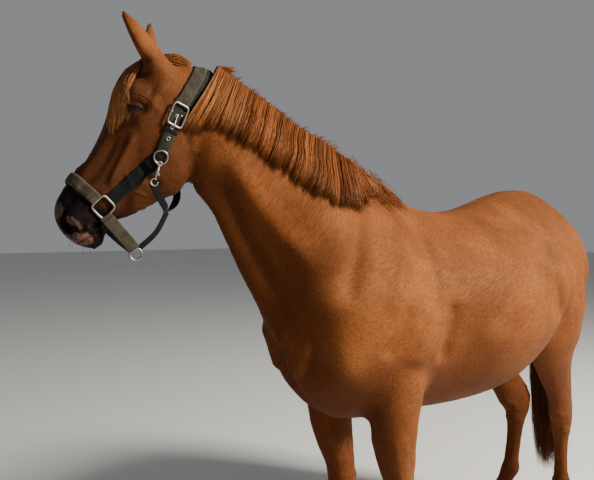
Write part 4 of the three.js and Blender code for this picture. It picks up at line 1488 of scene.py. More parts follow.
@dataclass
class HeightMap:
    """How far out a surface lies over a grid of two of its coordinates, found by rays from outside.

    Where a ray meets nothing the height is `empty`. Heights between the grid's points are bilinear.
    """

    low: tuple[float, float]
    high: tuple[float, float]
    spacing: float
    axis: int
    start: float
    empty: float = 0.0
    heights: Array = field(init=False)

    def cast(self, tree: BVHTree) -> "HeightMap":
        """Casts the rays towards falling values of the axis."""
        others = [k for k in range(3) if k != self.axis]
        steps = [np.arange(a, b + self.spacing, self.spacing) for a, b in zip(self.low, self.high)]
        self.heights = np.full((len(steps[0]), len(steps[1])), self.empty)
        down = Vector([-1.0 if k == self.axis else 0.0 for k in range(3)])
        place = [0.0, 0.0, 0.0]
        place[self.axis] = self.start
        for i, first in enumerate(steps[0]):
            for j, second in enumerate(steps[1]):
                place[others[0]], place[others[1]] = float(first), float(second)
                hit = tree.ray_cast(Vector(place), down)[0]
                if hit is not None:
                    self.heights[i, j] = hit[self.axis]
        return self

    def at(self, first: Array, second: Array) -> Array:
        """The height at places of the two coordinates."""
        i = np.clip((first - self.low[0]) / self.spacing, 0, self.heights.shape[0] - 1.001)
        j = np.clip((second - self.low[1]) / self.spacing, 0, self.heights.shape[1] - 1.001)
        p, q = i.astype(int), j.astype(int)
        s, t = i - p, j - q
        table = self.heights
        near = table[p, q] * (1 - t) + table[p, q + 1] * t
        far = table[p + 1, q] * (1 - t) + table[p + 1, q + 1] * t
        return near * (1 - s) + far * s


@dataclass
class Mane:
    """The mane: it stands up along the crest, falls over to the left and hangs in pulled clumps."""

    line: tuple[tuple[float, float, float], ...] = (
        (-1060, 1876, 200), (-1050, 1872, 203), (-1030, 1862, 199), (-998, 1844, 197), (-960, 1820, 196),
        (-925, 1799, 199), (-885, 1774, 202), (-845, 1750, 209), (-800, 1724, 213), (-755, 1700, 213),
        (-705, 1676, 212), (-655, 1651, 192), (-600, 1624, 138), (-545, 1597, 92), (-500, 1578, 58),
    )  # along the crest: y, z, and how far down the hair reaches below it
    heights: tuple[tuple[float, ...], tuple[float, ...]] = (
        (-1076, -1040, -980, -900, -810, -714, -660, -600, -440), (12, 13, 8, 12, 6, 15, 9, 12, 8),
    )  # how far the hair rises over the crest, by y
    clumps: int = 27
    parts: int = 5
    hairs: int = 3900
    rings: int = 9
    strap: float = -157.0  # the mane starts behind the crownpiece, at this height over the head's plane

    def lean(self, share: Array) -> Array:
        """How far forwards the hair falls for each millimetre down."""
        return np.interp(share, (0, 0.06, 0.2, 0.72, 0.86, 1), (0.60, 0.56, 0.5, 0.44, 0.30, -0.55))

    def behind_strap(self, y: Array, z: Array) -> tuple[Array, Array]:
        """Places on the straight neck, moved back square to the crownpiece where they would lie under it."""
        across = NECK.axes()[2]
        over = (y - NECK.poll[1]) * across[1] + (z - NECK.poll[2]) * across[2] - NECK.face_line - self.strap
        over = np.maximum(over, 0)
        return y - over * across[1], z - over * across[2]

    def locks(self, side: HeightMap, under: bool, seed: int) -> Locks:
        """One layer of the mane.

        A hair starts inside the crest, rises over it, comes down at x(y, z) + offset and ends at an edge.
        Within a clump it draws in towards the clump's middle as it goes down.

        Args:
            side: how far out the left side of the neck lies over (y, z).
            under: whether it is the layer beneath, painted darker as shade.
            seed: the start of the random draws.

        Returns:
            The hairs.
        """
        draw = np.random.default_rng(seed)
        count = self.hairs
        share = np.sort(draw.uniform(0.0, 1.0, count))
        edges = np.linspace(0, 1, self.clumps + 1)
        edges[1:-1] += np.random.default_rng(11).uniform(-0.42, 0.42, self.clumps - 1) / self.clumps
        clump = np.clip(np.searchsorted(edges, share) - 1, 0, self.clumps - 1)
        middle = (edges[clump] + edges[clump + 1]) / 2
        inside = (share - middle) / (edges[clump + 1] - edges[clump])
        part = np.round((inside + 0.5) * self.parts - 0.5)
        part_middle = (part + 0.5) / self.parts - 0.5
        trait = np.random.default_rng(5).uniform(-1, 1, (self.clumps, self.parts + 1, 4))
        own = trait[clump, np.clip(part, 0, self.parts).astype(int)]
        whole = trait[clump, 0]
        y, z, hang = catmull_rom(self.line, share).T
        table = np.array(self.line)
        lean = self.lean(share) + 0.04 * whole[:, 0] + 0.03 * own[:, 1] + draw.normal(0, 0.012, count)
        order = np.argsort(table[:, 0])
        drop = hang.copy()
        for _ in range(8):
            ahead = y - lean * drop
            drop = z - np.interp(ahead, table[order, 0], (table[:, 1] - table[:, 2])[order])
        drop = (
            drop * 0.99 + 8 * whole[:, 1] + 10 * own[:, 2] - np.abs(draw.normal(0, 20, count))
            - (16 if under else 0)
        )
        drop = np.maximum(drop, 40)
        length = np.hypot(table[-1, 0] - table[0, 0], table[-1, 1] - table[0, 1])
        draw_in = (
            (middle - share) * 0.24 + (part_middle - inside) * (edges[clump + 1] - edges[clump]) * 0.6
        ) * length
        draw_in = draw_in + 5 * own[:, 1] + draw.normal(0, 2.5, count)
        sway = draw.normal(0, 1.6, count)
        across = draw.uniform(-1, 1, count)
        ridge = 1 - (2 * inside) ** 2
        part_ridge = 1 - np.clip(np.abs(part_middle - inside) * 2 * self.parts, 0, 1) ** 2
        offset = (
            3 + 2 * across if under else 4 + 6 * ridge**0.7 + 6 * part_ridge + 3 * whole[:, 2] + 3 * across
        )
        rise = (0.6 if under else 1.0) * (
            np.interp(y, *self.heights) + 3 * own[:, 3] + draw.uniform(-3, 3, count)
        )
        crest = np.array([0.0, -0.895, 0.445])
        knots = []
        falls = [np.full(count, -7.0), rise, rise * 0.42 - 4, np.full(count, -34.0)]
        steps = [0.0, 0.02, 0.06, 0.14]
        for fall, far in zip(falls, steps):
            knots.append((fall, far))
        for far in (0.36, 0.58, 0.8, 1.0):
            knots.append((-(34 + (drop - 34) * (far - 0.14) / 0.86), far))
        rows_out = []
        for k, (fall, far) in enumerate(knots):
            shift = draw_in * far**1.3 + sway * far * np.sin(3 + 5 * far + 3 * across)
            py = y - lean * np.maximum(-fall, 0) * (1 if k > 2 else 0.3) - crest[1] * -shift
            pz = z + fall + crest[2] * shift
            py, pz = self.behind_strap(py, pz)
            wide = side.at(y - lean * 34, z - 34)
            if k == 0:
                x = 7 * across
            elif k == 1:
                x = 7 * across + 6
            elif k == 2:
                x = wide * 0.58 + 0.7 * offset + 3
            else:
                x = side.at(py, pz) + offset * (1 - 0.35 * (far > 0.95))
            rows_out.append(np.stack([x, py, pz], -1))
        paths = Locks.along(np.stack(rows_out, 1), self.rings)
        far = np.linspace(0, 1, self.rings)
        widths = (2.4 + draw.uniform(-0.7, 1.0, count))[:, None] * (1 - 0.88 * far**3)
        out = everywhere(paths, [0.8, 0.1, 0.6])
        out[:, 3:] = np.array([1.0, 0.0, 0.25])
        tone = 0.86 + 0.32 * own[:, 0] + 0.20 * whole[:, 3] + draw.normal(0, 0.20, count)
        # painted shade: the layer beneath is darker
        if under:
            colours = shaded(TONES.mane_under, np.clip(tone, 0.4, 1.4)[:, None] * np.ones(self.rings))
        else:
            # painted shade at the edges of the clumps and their parts, where the hair parts
            depth = 0.30 + 0.70 * np.clip(0.42 * np.maximum(ridge, 0) ** 0.6 + 0.58 * part_ridge, 0, 1)
            colours = shaded(TONES.mane, (np.clip(tone, 0.35, 1.5) * depth)[:, None] * (0.9 + 0.16 * far))
            golden = (draw.uniform(0, 1, count) < 0.14 + 0.3 * (share < 0.3))[:, None] * step(far, 0.1, 0.6)
            colours = mixed(colours, TONES.flaxen, 0.45 * golden)
        places = np.stack([share, across], -1)
        return Locks.laid(NECK.bend, paths, widths, out, colours, places)

    def build(self, skin: Skin) -> None:
        """Makes the three layers, the hair over the withers and the short hair of the crest."""
        straight = skin.bare.over(NECK.straighten(skin.bare.points)).tree()
        side = HeightMap((-1190, 1380), (-380, 1960), 11.0, 0, 420.0).cast(straight)
        gloss = HairGloss("mane_hair", 0.44).material()
        self.locks(side, True, 21).piece("mane_under", gloss, "mane_hair", ["mane"])
        self.locks(side, False, 22).piece("mane_left", gloss, "mane_hair", ["mane"])
        self.locks(side, False, 23).piece("mane_over", gloss, "mane_hair", ["mane"])
        top = HeightMap((-140, -640), (140, -140), 8.0, 2, 2100.0, 1300.0).cast(straight)
        self.withers(top).piece("mane_withers", gloss, "mane_hair")
        self.crest().piece("mane_crest", gloss, "mane_hair")

    def crest(self) -> Locks:
        """Short hair that stands up along the crest, and the lock that stands behind the crownpiece."""
        draw = np.random.default_rng(33)
        count = 1500
        table = np.array(self.line)
        y = draw.uniform(-1052, -480, count)
        y[:150] = draw.normal(-1046, 7, 150)
        z = np.interp(y, table[:, 0], table[:, 1])
        across = draw.normal(0, 1, count)
        long = draw.uniform(16, 34, count) * np.where(np.abs(y + 714) < 40, 1.35, 1.0)
        long[:150] = draw.uniform(30, 42, 150)
        back = draw.normal(0.35, 0.3, count)
        aside = 0.25 + 0.5 * np.abs(across)
        knots = []
        for far in (0.0, 0.35, 0.7, 1.0):
            bow = np.where(np.arange(count) < 150, 16.0, 5.0) * far**2
            knots.append(np.stack([4 + 6 * across + aside * long * far * 0.5, y + back * long * far + bow,
                                   z - 5 + (long * 0.9) * far - 0.35 * long * far**2], -1))
        paths = Locks.along(np.stack(knots, 1), 5)
        far = np.linspace(0, 1, 5)
        widths = draw.uniform(1.3, 2.1, count)[:, None] * (1 - 0.85 * far**2)
        colours = shaded(TONES.mane, draw.uniform(0.55, 1.2, count)[:, None] * (0.8 + 0.35 * far))
        colours = mixed(colours, TONES.flaxen, 0.4 * (draw.uniform(0, 1, (count, 1)) < 0.3) * far)
        out = everywhere(paths, [0.8, 0.3, 0.3])
        return Locks.laid(NECK.bend, paths, widths, out, colours, np.stack([y, across], -1))

    def withers(self, top: HeightMap) -> Locks:
        """The last hair of the mane, brushed back and down over the withers on both sides."""
        draw = np.random.default_rng(31)
        count = 1750
        place = draw.uniform(0, 1, count)
        start = -700 + 258 * place
        across = draw.uniform(-0.55, 1, count)
        lock = np.round((across + 2 * place) * 5) / 5 - 2 * place
        long = draw.uniform(60, 118, count) * np.where(across > 0, 1.2, 0.7)
        thick = draw.uniform(0.3, 1.4, count) * np.where(draw.uniform(0, 1, count) < 0.06, 2.2, 1.0)
        knots = []
        for far, lift in ((0, -5), (0.2, 16), (0.45, 15), (0.75, 10), (1.0, 4)):
            turn = (1.45 - 0.85 * place) * (across + (lock - across) * 0.6 * far)
            y = start + long * far * np.cos(turn)
            x = 5 * across + long * far * np.sin(turn) * 0.9
            z = top.at(x, y) + lift * thick
            knots.append(np.stack([x, y, z], -1))
        paths = Locks.along(np.stack(knots, 1), 7)
        far = np.linspace(0, 1, 7)
        widths = draw.uniform(1.6, 2.8, count)[:, None] * (1 - 0.85 * far**2)
        # painted light and shade: the hair is lighter than the mane, for the glow of light through it, and
        # darker between the locks
        tone = draw.uniform(0.9, 1.8, count) * np.where(np.abs(across - lock) > 0.07, 0.6, 1.0)
        colours = mixed(shaded(TONES.mane, tone[:, None] * np.ones(7)), TONES.coat, 0.55 * far**2)
        out = everywhere(paths, [0.0, 0.2, 1.0])
        return Locks(NECK.bend(paths), widths, out, colours, np.stack([start, across], -1))


@dataclass
class TailHair:
    """The tail: hair that leaves the dock all round and hangs down in locks."""

    hairs: int = 2700
    rings: int = 12
    clumps: int = 70
    aside: float = 14.0  # how far it hangs over to the right
    forward: float = 27.0  # how much nearer the rump it hangs than its outline
    broad: float = 1.25  # wider across than its outline
    into_croup: tuple[float, float, float] = (0.0, -22.0, 22.0)
    root_share: float = 0.22  # a hair leaves the dock this share of the way out to the outline
    fullness: tuple[tuple[float, ...], ...] = (
        (0, 0.08, 0.2, 0.35, 0.6, 0.85, 0.95, 1),
        (0.42, 0.72, 0.95, 1.10, 1.15, 1.25, 1.6, 1.6),
    )  # how far out the hair stands, by the share of the length

    def locks(self, seed: int, inner: bool) -> Locks:
        """One layer: a hair's place is a share of the way from the tail's middle line to its outline.

        Args:
            seed: the start of the random draws.
            inner: whether it fills the middle.

        Returns:
            The hairs.
        """
        draw = np.random.default_rng(seed)
        count = self.hairs
        root = draw.uniform(0.0, 0.36, count) ** 1.15
        angle = draw.uniform(0, FULL_TURN, count)
        clump = draw.integers(0, self.clumps, count)
        trait = np.random.default_rng(8).uniform(-1, 1, (self.clumps, 4))
        own = trait[clump].T[..., None]
        to_clump = (turns(self.clumps)[clump] - angle + math.pi) % FULL_TURN - math.pi
        near = np.abs(to_clump) < 0.9
        deep = draw.uniform(0.15, 0.75, count) if inner else draw.uniform(0.72, 0.99, count)
        end = 0.90 + 0.06 * own[0, :, 0] - np.abs(draw.normal(0, 0.13, count))
        far = np.linspace(0, 1, self.rings)
        t = np.clip(root[:, None] + (end - root)[:, None] * far, 0, 1)
        turn = angle[:, None] + np.where(near, to_clump, 0.2)[:, None] * 0.6 * far**1.5
        ripple = 0.10 * np.sin(far * 5 + own[1] * 3) * far
        turn = turn + ripple + draw.normal(0, 0.05, count)[:, None] * far
        drawn_in = 1 - 0.22 * far**3 * (1 + own[2])
        share = self.root_share + (deep[:, None] - self.root_share) * step(far, 0.0, 0.2) * drawn_in
        share = share * np.interp(t, *self.fullness) * (1 + 0.10 * own[1] * np.sin(9 * t + 3 * own[0]))
        outline = TAIL.surface(t, turn)
        heart = (TAIL.surface(t, np.zeros_like(t)) + TAIL.surface(t, np.full_like(t, math.pi))) / 2
        paths = heart + (outline - heart) * share[..., None] * np.array([self.broad, 1.0, 1.0])
        paths[..., 0] -= self.aside * step(t, 0.15, 0.6)
        paths[..., 1] -= self.forward * (1 - step(t, 0.3, 0.8))
        paths += np.array(self.into_croup) * (1 - step(t, 0.0, 0.14))[..., None]
        widths = draw.uniform(2.0, 3.6, count)[:, None] * (1 - 0.88 * far**3)
        tone = draw.uniform(0.6, 1.3, count)[:, None] * (0.8 + 0.25 * own[3]) * np.ones(self.rings)
        colours = shaded(TONES.tail, tone)
        light = step(t, 0.45, 0.95) * (draw.uniform(0, 1, count) < 0.55)[:, None]
        colours = mixed(colours, TONES.tail_end, 0.6 * light)
        colours = mixed(colours, TONES.coat, 0.75 * (1 - step(t, 0.02, 0.16)))
        return Locks(paths, widths, outline - heart, colours, np.stack([root, angle], -1))

    def build(self) -> None:
        """Makes the inner and the outer hair."""
        gloss = HairGloss("tail_hair", 0.42).material()
        self.locks(41, True).piece("tail_inner", gloss, "tail_hair", ["tail"])
        self.locks(42, False).piece("tail_outer", gloss, "tail_hair", ["tail"])


@dataclass
class Forelock:
    """The forelock over the forehead, and the hair brushed back over the poll."""

    hairs: int = 2200
    rings: int = 8
    pairs: int = 11  # locks on each side of the middle one
    near_edge: tuple[tuple[float, ...], ...] = (
        (60, 100, 150, 180, 215, 250, 285, 335),
        (-22, -24, -26, -20, -12, -2, 18, 40),
    )  # the edges of the front hair, by how far down the face they are
    far_edge: tuple[tuple[float, ...], ...] = (
        (60, 100, 135, 155, 180, 215, 250, 285, 335),
        (24, 34, 42, 54, 70, 80, 76, 68, 54),
    )
    back_hairs: int = 900
    back_locks: int = 11
    back_rings: int = 7

    def front(self, face: HeightMap) -> Locks:
        """Hair from between the ears down the left of the forehead, in head coordinates."""
        draw = np.random.default_rng(51)
        count = self.hairs
        start = draw.uniform(56, 98, count)
        side = draw.uniform(-1, 1, count)
        lock = np.round(side * self.pairs) / self.pairs
        traits = np.random.default_rng(9).uniform(-1, 1, (2 * self.pairs + 1, 3))
        trait = traits[np.round((lock + 1) * self.pairs).astype(int)]
        end = 330 + 16 * trait[:, 0] - 52 * np.abs(lock - 0.1) ** 1.5 - np.abs(draw.normal(0, 34, count))
        lift = 7 + 7 * (1 - np.abs(side)) + draw.uniform(-3, 3, count)
        stray = draw.normal(0, 1, count)
        knots = []
        for far in (0, 0.12, 0.3, 0.5, 0.7, 0.88, 1.0):
            down = start + (end - start) * far
            left, right = np.interp(down, *self.near_edge), np.interp(down, *self.far_edge)
            across = side + (lock + 0.10 * trait[:, 2] - side) * 0.45 * far + 0.05 * stray * far
            out = (left + right) / 2 + (right - left) / 2 * across + 3 * trait[:, 1] * np.sin(4 * far)
            up = lift * (1 + 1.1 * bell(far - 0.16, 0.14)) * (1 - 0.3 * far) if far else -5
            sideways = out + 0.35 * max(0.0, far - 0.1) * lift
            knots.append(np.stack([sideways, down, face.at(out, down) + up], -1))
        paths = Locks.along(np.stack(knots, 1), self.rings)
        far = np.linspace(0, 1, self.rings)
        widths = draw.uniform(1.5, 2.6, count)[:, None] * (1 - 0.88 * far**2)
        tone = np.clip(0.95 + 0.40 * trait[:, 2] + draw.normal(0, 0.28, count), 0.3, 1.7)
        # painted shade in the gaps between the locks
        tone = tone * (1.08 - 0.55 * (np.abs(side - lock) * 2 * self.pairs).clip(0, 1) ** 2)
        pale = 0.20 + 0.38 * far * (0.4 + 0.6 * draw.uniform(0, 1, (count, 1)))
        colours = mixed(shaded(TONES.mane, tone[:, None] * np.ones(self.rings)), TONES.flaxen, pale)
        normal = everywhere(paths, [0.25, 0.0, 1.0])
        return Locks.laid(NECK.on_head, paths, widths, normal, colours, np.stack([start, side], -1))

    def back(self, tree: BVHTree) -> Locks:
        """Wisps brushed back over the poll, from between the ears to the strap behind them."""
        draw = np.random.default_rng(52)
        count = self.back_hairs
        lock = draw.integers(0, self.back_locks, count)
        trait = draw.uniform(-1, 1, (self.back_locks, 3))[lock]
        side = 0.85 * (lock / 5.0 - 1.0) + draw.normal(0, 0.10, count)
        start = draw.uniform(0, 0.25, count)
        end = 1.0 - 0.25 * draw.uniform(0, 1, count) ** 2
        stray = np.abs(draw.normal(0, 1, count)) * 1.2 + 9.0 * (draw.uniform(0, 1, count) < 0.05)
        knots, outward = [], []
        thick = 0.55 + 0.35 * trait[:, 0] + draw.uniform(-0.5, 0.25, count)
        for far, lift in ((0, -4), (0.2, 14), (0.45, 27), (0.75, 26), (1.0, 10)):
            share = start + (end - start) * far
            down = np.interp(share, (0, 0.5, 1), (104, 56, 14))
            above = np.interp(share, (0, 0.5, 1), (2, -38, -96))
            guess = np.stack([side * (26 + 14 * far) + 8 * far, down - 10, above + 10], -1)
            found = [tree.find_nearest(Vector(place)) for place in guess.tolist()]
            normal = -np.array([hit[1] for hit in found])  # the head's coordinates are left-handed
            knots.append(np.array([hit[0] for hit in found]) + normal * (lift * thick + stray * far)[:, None])
            outward.append(normal)
        paths = Locks.along(np.stack(knots, 1), self.back_rings)
        far = np.linspace(0, 1, self.back_rings)
        widths = draw.uniform(1.2, 2.1, count)[:, None] * (1 - 0.88 * far**2)
        tone = 1.05 + 0.22 * trait[:, 1] + draw.normal(0, 0.10, count)
        pale = 0.12 + 0.25 * draw.uniform(0, 1, (count, 1))
        colours = mixed(shaded(TONES.mane, tone[:, None] * np.ones(self.back_rings)), TONES.flaxen, pale)
        normal = Locks.along(np.stack(outward, 1), self.back_rings)
        return Locks.laid(NECK.on_head, paths, widths, normal, colours, np.stack([start, side], -1))

    def build(self, skin: Skin) -> None:
        """Makes both."""
        tree = skin.bare.over(NECK.off_head(skin.bare.points)).tree()
        face = HeightMap((-100, 40), (100, 360), 6.0, 2, 200.0, -100.0).cast(tree)
        gloss = HairGloss("forelock_hair", 0.46).material()
        self.front(face).piece("forelock_front", gloss, "mane_hair", ["forelock"])
        self.back(tree).piece("forelock_back", gloss, "mane_hair")


# ---------------------------------------------------------------- ears
EAR_ROOT = Loft(
    rows(
        (-50, -34, 54, -34, 40, 42, 40),
        (-45, -10, 49, -10, 35, 38, 35),
        (-37, 16, 41, 16, 27, 30, 27, 2.2, -1),
        (-31, 36, 34, 36, 18, 21, 18, 2.2, -2),
        (-26, 52, 28, 52, 10, 13, 10, 2.2, -3),
    )
)


@dataclass(frozen=True)
class Ear:
    """An ear as a leaf with a hollow front, in its own axes: x out of the hollow, y across, z to the tip."""

    base: tuple[float, float, float]
    tip: tuple[float, float, float]
    facing: tuple[float, float, float]
    leaf: tuple[tuple[float, ...], ...] = rows(
        (-37, -25, 42, -25, 30, 32, 30),
        (-36, 8, 41, 8, 28, 30, 28, 2.2, -2),
        (-34, 38, 37, 38, 22, 25, 22, 2.2, -3),
        (-34, 66, 34, 66, 17, 20, 17, 2.2, -2),
        (-31, 94, 30, 94, 14, 17, 14, 2.2, -1),
        (-23, 122, 23, 122, 10, 13, 10, 2.2, 2),
        (-13, 146, 14, 146, 7, 8, 7, 2.2, 6),
        (-4, 162, 6, 162, 4, 4, 4, 2.2, 9),
    )
    wall: float = 4.0
    inset: float = 1.5  # how far the skin lies inside the outline
    curl: float = 3.5  # height of the rims over the hollow

    def place(self, points: Array) -> Array:
        """Points in the ear's own axes, on the posed horse."""
        along = unit(np.array(self.tip) - np.array(self.base))
        out = np.array(self.facing, float)
        out = unit(out - along * (out @ along))
        axes = np.stack([out, np.cross(along, out), along])
        return NECK.on_head(points @ axes + np.array(self.base))

    def surface(self, t: Array, angle: Array) -> Array:
        """The leaf with its front pressed in towards its back.

        On the front x moves to the back's x plus the wall, in the middle of the width and between base and
        tip, and the rims curl up beside the hollow.
        """
        points = Loft(self.leaf).surface(t, angle, -self.inset)
        opposite = Loft(self.leaf).surface(t, -angle, -self.inset)
        inner = opposite[..., 0] + self.wall
        edge = np.abs(np.cos(angle))
        hollow = (1 - step(edge, 0.55, 0.93)) * (step(t, 0.2, 0.34) * (1 - step(t, 0.86, 0.98)))
        front = np.sin(angle) > 1e-6
        points[..., 0] += np.where(front, hollow, 0) * (inner - points[..., 0]) * 0.94
        curl = self.curl * bell(edge - 0.93, 0.1) * step(t, 0.15, 0.35) * (1 - step(t, 0.8, 1))
        points[..., 0] += np.where(front, curl, 0)
        return points

    def shell(self, rings: int = 48, around: int = 72) -> tuple[Shell, Array, Array]:
        """The mesh, its colours and how bare it is."""
        t = np.linspace(0, 1, rings)[:, None]
        angle = turns(around)[None, :]
        shell = Shell.tube(self.place(self.surface(t, angle)))
        t, angle = np.broadcast_arrays(t, angle)
        t, angle = (np.append(v.ravel(), [v[0, 0], v[-1, -1]]) for v in (t, angle))
        edge = np.abs(np.cos(angle))
        inside = (np.sin(angle) > 0) * (1 - step(edge, 0.6, 0.9)) * step(t, 0.18, 0.35)
        # painted shade in the fold at the front of the ear's root
        fold = step(np.cos(angle), 0.55, 0.95) * (1 - step(t, 0.22, 0.4))
        colour = painted(
            repeated(TONES.coat, len(t)),
            (TONES.deep, 0.30 + 0.25 * step(t, 0.5, 0.95)),
            (TONES.light, 0.20 * (1 - inside) * (1 - step(t, 0.6, 0.9))),
            (TONES.ear_inside, 0.85 * inside),
            (TONES.deep, 0.7 * bell(edge - 0.96, 0.06) * step(t, 0.25, 0.5)),  # the rim
            (TONES.muzzle, 0.55 * step(t, 0.88, 0.98)),  # the tip
            (mixed(np.array(TONES.coat), TONES.deep, np.array(0.45)), 1 - step(t, 0.14, 0.42)),  # the root
            # painted shade in the fold at the front of the ear's root
            (TONES.muzzle, 0.6 * fold),
        )
        return shell.outwards(), colour, 0.15 * inside

    def root(self) -> Shell:
        """The fleshy root that carries the ear, as a closed body for the skin to be drawn over."""
        surface = EAR_ROOT.surface(np.linspace(0, 1, 40)[:, None], turns(48)[None, :])
        return Shell.tube(self.place(surface)).outwards()

    def hairs(self, seed: int, count: int) -> tuple[Array, Array, Array, Array]:
        """Roots, tips, outward directions and colours of the hair along the rims and inside."""
        draw = np.random.default_rng(seed)
        t = draw.uniform(0.16, 0.9, count)
        rim = draw.uniform(0, 1, count) < 0.6
        edge = np.where(draw.uniform(0, 1, count) < 0.5, 0.0, math.pi)
        beside_rim = edge + np.where(edge < 1, 1, -1) * draw.uniform(0.25, 0.6, count)
        angle = np.where(rim, beside_rim, draw.uniform(0.6, 2.5, count))
        root = self.surface(t, angle)
        heart = np.stack([np.full(count, 4.0), np.zeros(count), root[:, 2] + 12], -1)
        way = unit(heart - root) * np.where(rim, 0.55, 0.2)[:, None] + np.array([0.35, 0, 0.75])
        tip = root + unit(way) * (draw.uniform(9, 17, count) * (1.1 - 0.5 * t))[:, None]
        tone = mixed(repeated(TONES.ear_inside, count), TONES.flaxen, draw.uniform(0.1, 0.7, count))
        tone = mixed(tone, TONES.coat, 0.5 * rim)
        return self.place(root), self.place(tip), self.place(root + [1, 0, 0]) - self.place(root), tone


EARS = {
    "left": Ear((58, 106, -14), (72, 42, 132), (-0.8, 0.35, 0.5)),
    "right": Ear((-58, 100, -16), (-76, -35, 49), (-0.75, 0.3, 0.75)),
}


# ---------------------------------------------------------------- short tufts
@dataclass
class Tufts:
    """Short tufts over the flat coat: sparse on the trunk and face, longer where the coat breaks its form."""

    rings: int = 3
    trunk: int = 9500
    edges: int = 9500
    ear_hairs: int = 620
    whiskers: int = 90
    unrolled: float = 4400.0  # height at which the right side starts on the bake map, over the left side

    def ways(self, skin: Skin) -> Array:
        """Which way the hair lies at each point: back on the trunk, down the neck, the legs and the face."""
        body, head = NECK.straighten(skin.shell.points), NECK.off_head(skin.shell.points)
        lie = hair_lie(skin)
        neck, legs, face = (lie[:, k : k + 1] for k in range(3))
        way = np.array([0, 0.9, -0.43]) * (1 - neck - legs).clip(0, 1)
        way = way + np.array([0, 0.55, -0.83]) * neck + np.array([0, 0.1, -1.0]) * legs
        way = (NECK.bend(body + way) - NECK.bend(body)) * (1 - face)
        way = way + (NECK.on_head(head + np.array([0, 1.0, 0])) - NECK.on_head(head)) * face
        normals = skin.shell.normals()
        return unit(way - normals * (way * normals).sum(-1, keepdims=True))

    def sizes(self, skin: Skin, bare: Array) -> tuple[Array, Array, Array]:
        """How dense, how long and how raised the tufts are at each point, in shares and millimetres.

        Along the jaw and the throat, the belly, the backs of the legs and over the hooves they are longest.
        """
        points, normals = skin.shell.points, skin.shell.normals()
        body, head = NECK.straighten(points), NECK.off_head(points)
        weight = skin.weights[Zone.HEAD]
        low = 1 - step(points[:, 2], 620, 800)
        jaw = weight * step(-head[:, 2], 170, 215) * (head[:, 1] < 500)
        throat = step(-normals[:, 2], 0.2, 0.7) * (body[:, 1] < -760) * (points[:, 2] > 1150)
        belly = step(-normals[:, 2], 0.5, 0.85) * (points[:, 2] > 700) * (np.abs(body[:, 1]) < 560)
        breast = step(-normals[:, 1], 0.5, 0.9) * (body[:, 1] < -600) * (points[:, 2] > 850) * (1 - weight)
        heel = low * step(normals[:, 1], 0.2, 0.7) * (1 - step(points[:, 2], 240, 420))
        rim = (np.abs(points[:, 2] - 96) < 13) * 1.0
        rear = step(normals[:, 1], 0.5, 0.9) * (points[:, 2] > 650) * (points[:, 1] > 500)
        special = np.clip(jaw + throat + belly + breast + heel + rim + rear, 0, 1)
        dense = 0.5 + 0.9 * jaw + 0.9 * throat + 1.6 * belly + 0.7 * breast + 4.5 * heel + 7 * rim
        dense = dense + 0.9 * rear + 0.5 * weight
        long = 9.5 - 3.5 * weight - 2.0 * low + 3 * jaw + 4 * throat + 6 * belly + 4 * breast + 13 * heel
        long = long + 5 * rim + 5 * rear
        raised = 0.45 + 0.25 * special + 0.15 * (jaw + throat) + 2.0 * heel + 0.9 * belly
        covered = (1 - step(bare, 0.05, 0.3)) * (points[:, 2] > 84)
        return dense * covered, long, raised

    def grown(
        self, skin: Skin, count: int, seed: int, share: Array, long: Array, raised: Array, colour: Array
    ) -> Locks:
        """Tufts at random places of the skin, drawn in proportion to a share at its points.

        Args:
            skin: the finished skin.
            count: how many.
            seed: the start of the random draws.
            share: how dense they are at each point.
            long: how long they are.
            raised: how far their tips stand off.
            colour: the coat's colour.

        Returns:
            The tufts.
        """
        draw = np.random.default_rng(seed)
        shell = skin.shell
        faces = shell.quads
        corners = shell.points[faces]
        area = np.linalg.norm(np.cross(corners[:, 2] - corners[:, 0], corners[:, 3] - corners[:, 1]), axis=1)
        odds = area * share[faces].mean(1)
        face = draw.choice(len(faces), count, p=odds / odds.sum())
        a, b = draw.uniform(0, 1, (2, count, 1))
        blend = lambda values: (
            (values[faces[face, 0]] * (1 - a) + values[faces[face, 1]] * a) * (1 - b)
            + (values[faces[face, 3]] * (1 - a) + values[faces[face, 2]] * a) * b
        )
        root, normal, way = blend(shell.points), unit(blend(shell.normals())), unit(blend(self.ways(skin)))
        way = unit(way + np.cross(normal, way) * draw.normal(0, 0.22, (count, 1)))
        size = blend(long[:, None]) * draw.uniform(0.65, 1.25, (count, 1))
        rise = blend(raised[:, None]) * draw.uniform(0.5, 1.4, (count, 1))
        middle = root + way * size * 0.5 + normal * (rise * 0.5 - 0.3)
        paths = np.stack([root - normal * 1.0, middle, root + way * size + normal * (rise - 0.3)], 1)
        widths = draw.uniform(1.5, 2.7, (count, 1)) * np.array([1.0, 0.85, 0.12])
        # painted light: the tufts are lighter than the coat beneath, most at their tips, to cancel the shade
        # on their own sides
        tone = draw.normal(1.12, 0.14, (count, 1, 1)).clip(0.7, 1.6) * np.array([0.96, 1.02, 1.12])[:, None]
        colours = blend(colour)[:, None] * tone
        height = np.where(root[:, 0] > 0, root[:, 2], self.unrolled - root[:, 2])
        out = np.repeat(normal[:, None], 3, axis=1)
        return Locks(paths, widths, out, colours, np.stack([root[:, 1], height], -1))

